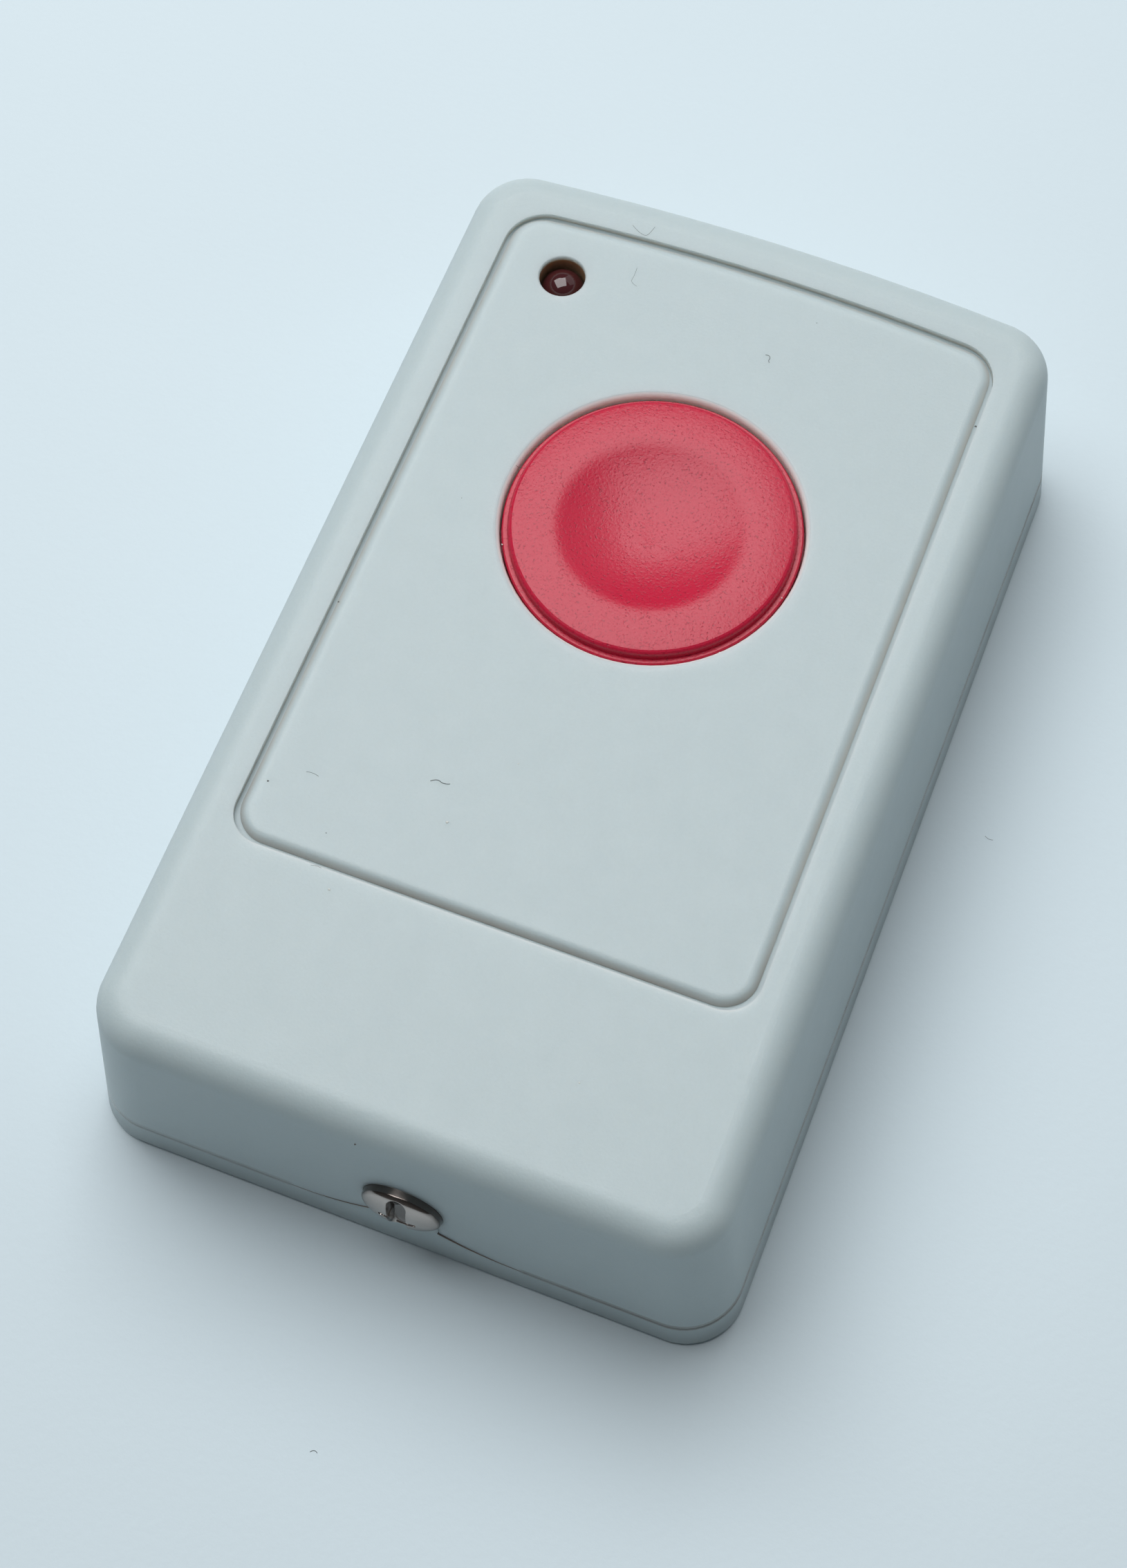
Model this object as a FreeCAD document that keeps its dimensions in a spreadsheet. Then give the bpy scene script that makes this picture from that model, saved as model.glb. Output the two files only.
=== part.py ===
import FreeCAD, Part
import Sketcher
import math
import os
import re

# A wireless panic button: a small two-shell hand transmitter with one red push cap, a lamp,
# a push switch, a radio board and a 12 V cell.
# Frame: origin at the middle of the underside, +X to the right, +Y toward the lamp end, +Z up.

V = FreeCAD.Vector
doc = FreeCAD.newDocument("PanicButton")

# Driving dimensions, in millimetres and degrees

SIZES = {
    "CaseLength": 72.4,
    "CaseWidth": 45.0,
    "CaseHeight": 17.6,
    "SideDraft": 5.6,
    "FrontDraft": 3.9,
    "EndDraft": 3.0,
    "EndBowRadius": 205.0,
    "CornerRadius": 4.0,
    "TopEdgeRadius": 2.2,
    "FootEdgeBevel": 0.4,
    "WallThickness": 1.8,
    "RoofThickness": 1.8,
    "FloorThickness": 1.8,
    "SeamHeight": 3.2,
    "SeamGap": 0.18,
    "SeamEdgeBevel": 0.12,
    "RootDepth": 0.2,
    "Overrun": 1.0,
    "LipHeight": 1.2,
    "LipThickness": 0.8,
    "LipGap": 0.08,
    "PanelSideMargin": 3.12,
    "PanelFrontMargin": 15.2,
    "PanelEndMargin": 3.43,
    "PanelBowRadius": 180.0,
    "PanelNearCorner": 2.3,
    "PanelFarCorner": 3.0,
    "PanelGrooveDepth": 0.5,
    "PanelGrooveWidth": 0.3,
    "PanelIslandCorner": 2.3,
    "PanelEdgeWidth": 0.5,
    "PanelEdgeDrop": 0.4,
    "PanelEdgeBlend": 0.7,
    "ButtonEndMargin": 21.45,
    "ButtonHoleRadius": 10.15,
    "ButtonHoleEdge": 0.4,
    "GuideGap": 0.2,
    "GuideThickness": 1.2,
    "GuideDepth": 3.2,
    "CapRadius": 10.0,
    "CapLedgeDrop": 0.47,
    "CapLedgeBevel": 0.1,
    "CapFaceRadius": 9.62,
    "CapFaceRise": 0.38,
    "CapEdgeRadius": 0.45,
    "CapCrownStart": 7.2,
    "CapCrownRadius": 15.0,
    "CapDishRadius": 6.4,
    "CapDishDepth": 1.15,
    "CapDishBlend": 3.5,
    "CapWall": 1.5,
    "CapFlangeRadius": 11.5,
    "CapFlangeThickness": 1.0,
    "CapFlangeGap": 0.05,
    "CapKeyWidth": 2.0,
    "CapKeyReach": 0.9,
    "CapStemRadius": 2.6,
    "CapStemLength": 1.4,
    "CapRibThickness": 1.0,
    "CapRibDepth": 0.7,
    "LampAside": 12.75,
    "LampEndMargin": 5.2,
    "LampHoleRadius": 1.6,
    "LampHoleEdge": 0.12,
    "LampRadius": 1.5,
    "LampDrop": 0.35,
    "LampDomeHeight": 1.1,
    "LampLength": 5.3,
    "LampFlangeRadius": 1.9,
    "LampFlangeThickness": 1.0,
    "LeadWidth": 0.5,
    "LeadPitch": 2.54,
    "ScrewAside": 0.6,
    "ScrewHeight": 7.5,
    "ScrewHeadRadius": 2.7,
    "ScrewHeadHeight": 1.28,
    "ScrewHeadCrown": 6.8,
    "ScrewHeadBevel": 0.3,
    "ScrewRadius": 1.45,
    "ScrewLength": 6.6,
    "ScrewTip": 0.4,
    "RecessHalfWidth": 0.6,
    "RecessReach": 2.1,
    "RecessDepth": 0.85,
    "WingHalfWidth": 0.3,
    "WingReach": 1.2,
    "TongueThickness": 2.1,
    "TongueHalfWidth": 2.3,
    "TongueFlareReach": 8.0,
    "TongueFlareRadius": 12.0,
    "TongueGap": 0.08,
    "TongueHoleRadius": 1.6,
    "BossRadius": 3.0,
    "BossDepth": 5.6,
    "BossBoreRadius": 1.7,
    "InsertRadius": 2.1,
    "InsertLength": 4.4,
    "InsertWaist": 0.12,
    "HookAside": 9.0,
    "HookWidth": 5.0,
    "HookThickness": 1.2,
    "HookRise": 3.6,
    "HookNib": 0.7,
    "HookCatch": 1.3,
    "HookGap": 0.15,
    "HoldGap": 0.3,
    "PressPlace": 2.0,
    "PressRadius": 1.6,
    "BoardHalfWidth": 18.2,
    "BoardBatteryGap": 6.6,
    "BoardEndMargin": 5.0,
    "BoardCorner": 3.0,
    "BoardHeight": 5.0,
    "BoardThickness": 1.6,
    "PostRadius": 2.5,
    "PostAside": 15.2,
    "NearPostInset": 3.0,
    "FarPostInset": 3.8,
    "PinInset": 13.2,
    "PinRadius": 1.0,
    "PinRise": 1.2,
    "BoardScrewRadius": 1.0,
    "BoardScrewLength": 5.2,
    "BoardScrewHeadRadius": 2.1,
    "BoardScrewHeadHeight": 1.5,
    "BoardScrewSlot": 0.5,
    "FitGap": 0.02,
    "HoleGap": 0.05,
    "BatteryRadius": 5.15,
    "BatteryLength": 28.5,
    "BatteryNubRadius": 2.9,
    "BatteryNubLength": 1.0,
    "BatteryEdgeBevel": 0.4,
    "BatteryEndMargin": 14.0,
    "BatteryLift": 0.5,
    "CradleAside": 8.0,
    "CradleThickness": 1.2,
    "CradleReach": 4.4,
    "CradleGap": 0.1,
    "ContactThickness": 0.3,
    "ContactSize": 9.0,
    "ContactStrapWidth": 3.0,
    "ContactFoot": 0.6,
    "ContactGrip": 0.7,
    "ContactRailThickness": 1.2,
    "ContactRailHeight": 4.6,
    "SpringLength": 3.2,
    "SpringThickness": 0.25,
    "SpringReach": 3.6,
    "SpringFoot": 0.6,
    "SpringWidth": 3.0,
    "SwitchSize": 12.0,
    "SwitchHeight": 3.4,
    "SwitchCorner": 0.8,
    "SwitchPitRadius": 4.4,
    "SwitchPitFloor": 0.9,
    "SwitchCoverThickness": 0.3,
    "SwitchCoverHoleRadius": 3.4,
    "PlungerRadius": 3.3,
    "PlungerBaseRadius": 3.9,
    "PlungerBaseThickness": 0.6,
    "PlungerCollarRise": 0.7,
    "PlungerStemSize": 3.8,
    "PlungerNibRadius": 1.2,
    "PlungerGap": 0.05,
    "DomeRadius": 4.1,
    "DomeCrownRadius": 1.9,
    "DomeThickness": 0.15,
    "DomeRise": 0.9,
    "TerminalPitch": 5.0,
    "TerminalWidth": 0.9,
    "TerminalThickness": 0.3,
    "SolderTail": 1.0,
    "LeadHoleRadius": 0.5,
    "ResonatorAside": 10.5,
    "ResonatorPlace": 4.0,
    "ResonatorRadius": 4.1,
    "ResonatorFlangeRadius": 4.6,
    "ResonatorFlangeThickness": 0.4,
    "ResonatorHeight": 3.2,
    "ResonatorLeadReach": 2.54,
    "ChipAside": 10.0,
    "ChipPlace": 3.0,
    "ChipLength": 8.7,
    "ChipWidth": 3.9,
    "ChipHeight": 1.5,
    "ChipLift": 0.15,
    "ChipLegPitch": 1.27,
    "ChipLegWidth": 0.4,
    "ChipLegReach": 1.0,
    "ChipLegThickness": 0.2,
    "TransistorAside": 10.5,
    "TransistorInset": 9.7,
    "TransistorRadius": 2.4,
    "TransistorFlat": 1.4,
    "TransistorHeight": 4.5,
    "TransistorLift": 1.0,
    "TransistorLeadPitch": 1.27,
    "CapacitorAside": 10.5,
    "CapacitorPlace": 4.0,
    "CapacitorRadius": 2.5,
    "CapacitorGap": 1.0,
    "CapacitorEdgeBevel": 0.3,
    "CapacitorLeadPitch": 2.0,
    "SmallLength": 1.6,
    "SmallWidth": 0.8,
    "SmallHeight": 0.6,
    "SmallGrid": 0.5,
    "AntennaStart": -6.0,
    "AntennaInset": 3.7,
    "AntennaStrip": 0.6,
    "AntennaLength": 14.0,
    "AntennaRise": 5.5,
    "AntennaBend": 1.5,
}

# Places that follow from them: the panel and what stands in it keep their margins from the
# case's walls, the board lies between the battery and the far wall, and tall parts stay clear
# of what is above them

LINKED = {
    "PanelHalfWidth": "CaseWidth / 2 - CaseHeight * tan(SideDraft) - PanelSideMargin",
    "PanelFront": "CaseLength / 2 - CaseHeight * tan(FrontDraft) - PanelFrontMargin",
    "PanelEnd": "CaseLength / 2 - CaseHeight * tan(EndDraft) - PanelEndMargin",
    "ButtonPlace": "PanelEnd - ButtonEndMargin",
    "LampPlace": "PanelEnd - LampEndMargin",
    "BatteryPlace": "CaseLength / 2 - BatteryEndMargin",
    "BoardFront": "BatteryPlace - BoardBatteryGap",
    "BoardEnd": "CaseLength / 2 - BoardEndMargin",
    "NearPostPlace": "BoardFront - NearPostInset",
    "FarPostPlace": "BoardEnd - FarPostInset",
    "PinPlace": "BoardEnd - PinInset",
    "TransistorPlace": "BoardEnd - TransistorInset",
    "AntennaPlace": "BoardEnd - AntennaInset",
    "BoardTop": "BoardHeight + BoardThickness",
    "CapUnderside": "CaseHeight + CapFaceRise - CapDishDepth - CapWall",
    "PlungerRise": "CapUnderside - CapStemLength - PlungerGap - BoardTop",
    "CapacitorHeight": "CaseHeight - RoofThickness - GuideDepth - CapacitorGap - BoardTop",
}

# Two places nearer than this count as one, and so does a volume that changes by less
SAME_PLACE = 1e-3
SAME_VOLUME = 1e-6


def make_sheet():
    """Writes the dimensions into the document's sheet, one named cell each."""
    cells = doc.addObject("Spreadsheet::Sheet", "Sizes")
    linked = {name: "=" + text for name, text in LINKED.items()}
    for row, (name, amount) in enumerate({**SIZES, **linked}.items(), start=1):
        cells.set(f"A{row}", name)
        cells.set(f"B{row}", str(amount))
        cells.setAlias(f"B{row}", name)
        doc.recompute()
    return cells


sheet = make_sheet()
NAMES = re.compile(r"\b(" + "|".join([*SIZES, *LINKED]) + r")\b")


def rule(text):
    """A formula in plain size names, as an expression that reads the sheet."""
    return NAMES.sub(r"Sizes.\1", str(text))


def amount(text):
    """The present value of a formula."""
    found = sheet.evalExpression(rule(text))
    return float(getattr(found, "Value", found))


def bind(thing, **formulas):
    """Ties a feature's sizes to the sheet."""
    for prop, text in formulas.items():
        thing.setExpression(prop, rule(text))


# Sketches and features

BAND_TURN = 18


def new_body(label):
    body = doc.addObject("PartDesign::Body", label)
    body.Label = label
    return body


def new_sketch(body, name, role, lift="0"):
    """A sketch on one of the body's own planes, moved along the plane's normal."""
    sketch = body.newObject("Sketcher::SketchObject", name)
    plane = next(f for f in body.Origin.OriginFeatures if f.Role == role)
    sketch.AttachmentSupport = [(plane, "")]
    sketch.MapMode = "FlatFace"
    sketch.setExpression("AttachmentOffset.Base.z", rule(lift))
    return sketch


def pin_point(sketch, found, formulas, edge, end, x_text, y_text):
    """Adds the two constraints that hold one sketch point at its place."""
    for kind, axis, text in (("DistanceX", -2, x_text), ("DistanceY", -1, y_text)):
        if str(text) == "0":
            found.append(Sketcher.Constraint("PointOnObject", edge, end, axis))
            formulas.append(None)
        else:
            found.append(Sketcher.Constraint(kind, -1, 1, edge, end, amount(text)))
            formulas.append(text)


def settle(sketch, found, formulas):
    """Adds constraints to a sketch and ties the sized ones to their formulas."""
    numbers = sketch.addConstraint(found)
    for number, text in zip(numbers, formulas):
        if text is not None:
            name = f"size{number}"
            sketch.renameConstraint(number, name)
            sketch.setExpression(f"Constraints.{name}", rule(text))


def draw_loop(sketch, points, closed=True):
    """Draws a closed loop or an open run. Each point is (x, y) and a straight line follows
    it, or (x, y, radius, turn) and an arc follows: turn 1 is anticlockwise, -1 clockwise."""
    places = [(amount(p[0]), amount(p[1])) for p in points]
    found, formulas, ends = [], [], []
    for index, point in enumerate(points if closed else points[:-1]):
        start = V(*places[index], 0)
        finish = V(*places[(index + 1) % len(points)], 0)
        if len(point) == 2:
            edge = sketch.addGeometry(Part.LineSegment(start, finish), False)
            ends.append((edge, 1, 2))
            continue
        radius, turn = amount(point[2]), point[3]
        half = (finish - start) * 0.5
        across = V(-half.y, half.x, 0).normalize()
        sag = math.sqrt(max(radius * radius - half.Length * half.Length, 0.0))
        centre = start + half + across * (sag * turn)
        first, last = (start, finish) if turn > 0 else (finish, start)
        low = math.atan2(first.y - centre.y, first.x - centre.x)
        high = math.atan2(last.y - centre.y, last.x - centre.x)
        circle = Part.Circle(centre, V(0, 0, 1), radius)
        edge = sketch.addGeometry(Part.ArcOfCircle(circle, low, high), False)
        ends.append((edge, 1, 2) if turn > 0 else (edge, 2, 1))
        found.append(Sketcher.Constraint("Radius", edge, radius))
        formulas.append(point[2])
    for index, point in enumerate(points):
        if index == len(ends):
            edge, _, start = ends[-1]
        else:
            edge, start, _ = ends[index]
        if closed or 0 < index < len(ends):
            before, _, finish = ends[index - 1]
            found.append(Sketcher.Constraint("Coincident", before, finish, edge, start))
            formulas.append(None)
        pin_point(sketch, found, formulas, edge, start, point[0], point[1])
    settle(sketch, found, formulas)
    return [edge for edge, _, _ in ends]


def banded_arc(x_text, y_text, radius, first, last):
    """The points of an arc about a centre, run clockwise in straight bands that keep the
    facets of a small rounded edge few. The turns are in degrees."""
    return [(f"{x_text} + {radius} * cos({turn})", f"{y_text} + {radius} * sin({turn})")
            for turn in range(first, last - 1, -BAND_TURN)]


def draw_circle(sketch, x_text, y_text, radius):
    circle = Part.Circle(V(amount(x_text), amount(y_text), 0), V(0, 0, 1), amount(radius))
    edge = sketch.addGeometry(circle, False)
    found, formulas = [Sketcher.Constraint("Radius", edge, amount(radius))], [radius]
    pin_point(sketch, found, formulas, edge, 3, x_text, y_text)
    settle(sketch, found, formulas)


def draw_axis(sketch, x_text, low, high):
    """A construction line that stands at one x, to turn a profile about."""
    x, start, finish = amount(x_text), amount(low), amount(high)
    edge = sketch.addGeometry(Part.LineSegment(V(x, start, 0), V(x, finish, 0)), True)
    found, formulas = [Sketcher.Constraint("Vertical", edge)], [None]
    pin_point(sketch, found, formulas, edge, 1, x_text, low)
    found.append(Sketcher.Constraint("DistanceY", -1, 1, edge, 2, finish))
    formulas.append(high)
    settle(sketch, found, formulas)
    return "Axis0"


def draw_box(sketch, low_x, low_y, high_x, high_y):
    draw_loop(sketch, [(low_x, low_y), (high_x, low_y), (high_x, high_y), (low_x, high_y)])


def pad(body, name, sketch, length, backward=False):
    feature = body.newObject("PartDesign::Pad", name)
    feature.Profile = sketch
    feature.Reversed = backward
    bind(feature, Length=length)
    doc.recompute()
    return feature


def pocket(body, name, sketch, length, backward=False):
    """Cuts a pocket and stops if it took nothing away."""
    before = body.Shape.Volume
    feature = body.newObject("PartDesign::Pocket", name)
    feature.Profile = sketch
    feature.Reversed = backward
    bind(feature, Length=length)
    doc.recompute()
    if body.Shape.Volume > before - SAME_VOLUME:
        raise RuntimeError(f"{body.Label}: {name} cuts nothing")
    return feature


def revolve(body, name, sketch):
    """Turns a sketch a full circle about its own vertical axis."""
    feature = body.newObject("PartDesign::Revolution", name)
    feature.Profile = sketch
    feature.ReferenceAxis = (sketch, ["V_Axis"])
    feature.Angle = 360
    doc.recompute()
    return feature


def groove(body, name, sketch, axis):
    """Cuts a sketch's sweep about one of its construction lines."""
    feature = body.newObject("PartDesign::Groove", name)
    feature.Profile = sketch
    feature.ReferenceAxis = (sketch, [axis])
    feature.Angle = 360
    doc.recompute()
    return feature


def hollow_out(body, name, chosen, wall):
    """Hollows the body inward from its outer faces and leaves one face open."""
    tip = body.Tip
    names = [f"Face{n}" for n, face in enumerate(tip.Shape.Faces, start=1) if chosen(face)]
    feature = body.newObject("PartDesign::Thickness", name)
    feature.Base = (tip, names)
    feature.Reversed = True
    bind(feature, Value=wall)
    doc.recompute()
    return feature


def mirror(body, name, feature, role="YZ_Plane"):
    """Repeats a feature on the other side of one of the body's own planes."""
    copy = body.newObject("PartDesign::Mirrored", name)
    copy.Originals = [feature]
    plane = next(f for f in body.Origin.OriginFeatures if f.Role == role)
    copy.MirrorPlane = (plane, [""])
    body.Tip = copy
    doc.recompute()
    return copy


def round_edges(body, name, chosen, radius):
    """Rounds the edges of the body's last feature that pass a test."""
    tip = body.Tip
    names = [f"Edge{n}" for n, edge in enumerate(tip.Shape.Edges, start=1) if chosen(edge)]
    if not names:
        raise RuntimeError(f"{body.Label}: {name} finds no edge")
    feature = body.newObject("PartDesign::Fillet", name)
    feature.Base = (tip, names)
    bind(feature, Radius=radius)
    doc.recompute()
    return feature


def bevel_edges(body, name, chosen, size):
    """Bevels the edges of the body's last feature that pass a test."""
    tip = body.Tip
    names = [f"Edge{n}" for n, edge in enumerate(tip.Shape.Edges, start=1) if chosen(edge)]
    if not names:
        raise RuntimeError(f"{body.Label}: {name} finds no edge")
    feature = body.newObject("PartDesign::Chamfer", name)
    feature.Base = (tip, names)
    bind(feature, Size=size)
    doc.recompute()
    return feature


def slope_edges(body, name, chosen, width, drop):
    """Bevels level edges of the body's last feature wider than they are deep."""
    feature = bevel_edges(body, name, chosen, drop)
    feature.ChamferType = "Two distances"
    bind(feature, Size2=width)
    doc.recompute()
    return feature


def level_face(height):
    """A test for flat faces at one height."""
    def test(face):
        box = face.BoundBox
        return abs(box.ZMin - height) < SAME_PLACE and abs(box.ZMax - height) < SAME_PLACE
    return test


def upright_edge(rise):
    """A test for edges that climb the whole height of a form."""
    def test(edge):
        return abs(edge.BoundBox.ZLength - rise) < SAME_PLACE
    return test


def rim_edge(body, height):
    """A test for the outer edges of the body's flat face at one height."""
    flat = level_face(height)
    rims = [face.OuterWire for face in body.Tip.Shape.Faces if flat(face)]

    def test(edge):
        return any(edge.isSame(other) for rim in rims for other in rim.Edges)
    return test


def level_edge(height):
    """A test for edges that lie at one height."""
    def test(edge):
        box = edge.BoundBox
        return abs(box.ZMin - height) < SAME_PLACE and abs(box.ZMax - height) < SAME_PLACE
    return test


def ring_edge(height, radius):
    """A test for round edges of one radius at one height."""
    flat = level_edge(height)

    def test(edge):
        return flat(edge) and abs(getattr(edge.Curve, "Radius", 0.0) - radius) < SAME_PLACE
    return test


def drawn_edge(sketch, numbers):
    """A test for edges that lie where a sketch drew them."""
    middles = []
    for number in numbers:
        curve = sketch.Geometry[number]
        half = (curve.FirstParameter + curve.LastParameter) / 2
        middles.append(sketch.Placement.multVec(curve.value(half)))

    def test(edge):
        if edge.isNull() or edge.Length < SAME_PLACE:
            return False
        half = (edge.FirstParameter + edge.LastParameter) / 2
        return any((edge.valueAt(half) - m).Length < SAME_PLACE for m in middles)
    return test


def sweep(body, name, section, route):
    """Sweeps a section along a drawn route."""
    feature = body.newObject("PartDesign::AdditivePipe", name)
    feature.Profile = section
    feature.Spine = (route, [f"Edge{n + 1}" for n in range(len(route.Geometry))])
    doc.recompute()
    return feature


# Plain blocks and round pins for the small bought-in parts, and ways to join them

ALONG_X = FreeCAD.Rotation(V(0, 1, 0), 90)


def place(thing, x_text, y_text, z_text, turn=FreeCAD.Rotation()):
    """Sets a piece at its place, turned first if it needs to be."""
    thing.Placement = FreeCAD.Placement(V(0, 0, 0), turn)
    for axis, text in (("x", x_text), ("y", y_text), ("z", z_text)):
        thing.setExpression(f"Placement.Base.{axis}", rule(text))


def box(label, x_text, y_text, z_text, wide, deep, high):
    thing = doc.addObject("Part::Box", label)
    bind(thing, Length=wide, Width=deep, Height=high)
    place(thing, x_text, y_text, z_text)
    return thing


def cylinder(label, x_text, y_text, z_text, radius, high):
    thing = doc.addObject("Part::Cylinder", label)
    bind(thing, Radius=radius, Height=high)
    place(thing, x_text, y_text, z_text)
    return thing


def fuse(label, things):
    thing = doc.addObject("Part::MultiFuse", label)
    thing.Shapes = things
    doc.recompute()
    return thing


def cut(label, base, tool):
    thing = doc.addObject("Part::Cut", label)
    thing.Base, thing.Tool = base, tool
    doc.recompute()
    return thing


def group(label, things):
    """Keeps several like solids together as one piece."""
    thing = doc.addObject("Part::Compound", label)
    thing.Links = things
    doc.recompute()
    return thing


def legs(label, places, width, top):
    """Square wire legs that run from the solder side of the board up to a height."""
    wires = []
    for number, (x_text, y_text) in enumerate(places, start=1):
        wires.append(box(f"{label}_{number}", f"{x_text} - {width} / 2",
                         f"{y_text} - {width} / 2", "BoardHeight - SolderTail",
                         width, width, f"{top} - BoardHeight + SolderTail"))
    return group(label, wires)


# The case outline: a rounded rectangle with drafted walls and a bowed far end

def outline(sketch, half_width, front, end, near_corner, far_corner, bow):
    """Draws a rounded rectangle from y = -front to the bowed end's crown at y = end."""
    w, f, e = f"({half_width})", f"({front})", f"({end})"
    n, c, b = f"({near_corner})", f"({far_corner})", f"({bow})"
    bow_middle = f"({e} - {b})"
    rise = f"sqrt(({b} - {c}) ^ 2 - ({w} - {c}) ^ 2)"
    corner_y = f"{bow_middle} + {rise}"
    bow_x = f"{b} * ({w} - {c}) / ({b} - {c})"
    bow_y = f"{bow_middle} + {b} * {rise} / ({b} - {c})"
    return draw_loop(sketch, [
        (f"-{w} + {n}", f"-{f}"),
        (f"{w} - {n}", f"-{f}", n, 1),
        (w, f"-{f} + {n}"),
        (w, corner_y, c, 1),
        (bow_x, bow_y, b, 1),
        (f"-({bow_x})", bow_y, c, 1),
        (f"-{w}", corner_y),
        (f"-{w}", f"-{f} + {n}", n, 1),
    ])


def half_width(height):
    return f"(CaseWidth / 2 - ({height}) * tan(SideDraft))"


def front_wall(height):
    return f"(CaseLength / 2 - ({height}) * tan(FrontDraft))"


def end_wall(height):
    return f"(CaseLength / 2 - ({height}) * tan(EndDraft))"


def bow_radius(height):
    return f"(EndBowRadius - ({height}) * tan(EndDraft))"


def case_form(body, low, high):
    """The case's solid form between two heights: a bar with drafted sides, a leaning front
    wall, a bowed far end and rounded corners."""
    sketch = new_sketch(body, "cross_section", "XZ_Plane", "-CaseLength / 2 - Overrun")
    draw_loop(sketch, [
        (f"-{half_width(low)}", low), (half_width(low), low),
        (half_width(high), high), (f"-{half_width(high)}", high),
    ])
    pad(body, "bar", sketch, "CaseLength + 2 * Overrun")
    below, above = f"({low} - Overrun)", f"({high} + Overrun)"
    beyond = "(CaseLength / 2 + 4 * Overrun)"
    sketch = new_sketch(body, "front_slope", "YZ_Plane", "CaseWidth / 2 + Overrun")
    draw_loop(sketch, [
        (f"-{beyond}", below), (f"-{front_wall(below)}", below),
        (f"-{front_wall(above)}", above), (f"-{beyond}", above),
    ])
    pocket(body, "front_wall", sketch, "CaseWidth + 2 * Overrun")
    sketch = new_sketch(body, "end_slope", "YZ_Plane")
    draw_loop(sketch, [
        (end_wall(below), below), (beyond, below),
        (beyond, above), (end_wall(above), above),
    ])
    axis = draw_axis(sketch, "CaseLength / 2 - EndBowRadius", below, above)
    groove(body, "bowed_end", sketch, axis)
    round_edges(body, "corners", upright_edge(amount(high) - amount(low)), "CornerRadius")


def case_outline(sketch, height, inset):
    """The case's outline at a height, moved in from the outer wall."""
    outline(
        sketch,
        half_width=f"{half_width(height)} - ({inset})",
        front=f"{front_wall(height)} - ({inset})",
        end=f"{end_wall(height)} - ({inset})",
        near_corner=f"CornerRadius - ({inset})",
        far_corner=f"CornerRadius - ({inset})",
        bow=f"{bow_radius(height)} - ({inset})",
    )


ROOF = "(CaseHeight - RoofThickness)"
TRAY_TOP = "(SeamHeight - SeamGap)"
BATTERY_LEVEL = "(FloorThickness + BatteryLift + BatteryRadius)"
HOOK_TOP = "(SeamHeight + HookRise)"
HOOK_FACE = ("(CaseLength / 2 - WallThickness - (SeamHeight + HookRise) * tan(EndDraft)"
             f" - (HookAside + HookWidth / 2) ^ 2 / (2 * {bow_radius(HOOK_TOP)}) - HookGap)")
CONTACT_FACE = "((BatteryLength + SpringLength) / 2)"
SCREW_SEAT = "(CaseLength / 2 - (ScrewHeight + ScrewHeadRadius) * tan(FrontDraft))"
INSERT_FRONT = ("(CaseLength / 2 - (ScrewHeight + BossRadius) * tan(FrontDraft)"
                " - TongueThickness - TongueGap)")
BOSS_END = f"({INSERT_FRONT} - BossDepth)"
FLANGE_TOP = "(CaseHeight - RoofThickness - CapFlangeGap)"
TERMINAL_ASIDE = "(SwitchSize / 2 + TerminalThickness / 2)"

# Where legs pass through the board

TERMINAL_PLACES = [
    (f"{side} * {TERMINAL_ASIDE}", f"ButtonPlace + {end} * TerminalPitch / 2")
    for side in (-1, 1) for end in (-1, 1)
]
LAMP_LEADS = [(f"-LampAside + {end} * LeadPitch / 2", "LampPlace") for end in (-1, 1)]
TRANSISTOR_LEADS = [
    (f"TransistorAside + {end} * TransistorLeadPitch", "TransistorPlace")
    for end in (-1, 0, 1)
]
CAPACITOR_LEADS = [
    (f"-CapacitorAside + {end} * CapacitorLeadPitch / 2", "CapacitorPlace")
    for end in (-1, 1)
]
RESONATOR_LEADS = [
    (f"ResonatorAside + {end} * ResonatorLeadReach", "-ResonatorPlace") for end in (-1, 1)
]
ANTENNA_ENDS = [("AntennaStart", "AntennaPlace"),
                ("AntennaStart + AntennaLength", "AntennaPlace")]
LEAD_PLACES = (TERMINAL_PLACES + LAMP_LEADS + TRANSISTOR_LEADS + CAPACITOR_LEADS
               + RESONATOR_LEADS + ANTENNA_ENDS)

# Where the small ceramic parts lie on the board's layout grid, counted from the switch or from
# the board's near edge

CERAMIC_PLACES = [
    ("-4 * SmallGrid", "13 * SmallGrid - BoardFront"),
    ("5 * SmallGrid", "13 * SmallGrid - BoardFront"),
    ("0", "ButtonPlace - 25 * SmallGrid"),
    ("-22 * SmallGrid", "ButtonPlace + 3 * SmallGrid"),
]
RESISTOR_PLACES = [
    ("-12 * SmallGrid", "9 * SmallGrid - BoardFront"),
    ("-5 * SmallGrid", "6 * SmallGrid - BoardFront"),
    ("24 * SmallGrid", "ButtonPlace - 5 * SmallGrid"),
    ("-12 * SmallGrid", "ButtonPlace + 20 * SmallGrid"),
    ("2 * SmallGrid", "ButtonPlace + 21 * SmallGrid"),
]


def front_sketch(body, name, outward="0"):
    """A sketch on the front wall, leaning with its draft; its x is X and its y runs up."""
    sketch = new_sketch(body, name, "XZ_Plane")
    lean = FreeCAD.Rotation(V(-1, 0, 0), amount("FrontDraft"))
    sketch.AttachmentOffset = FreeCAD.Placement(V(0, 0, 0), lean)
    sketch.setExpression("AttachmentOffset.Base.z", rule(f"CaseLength / 2 + {outward}"))
    sketch.setExpression("AttachmentOffset.Rotation.Angle", rule("FrontDraft"))
    return sketch


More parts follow.
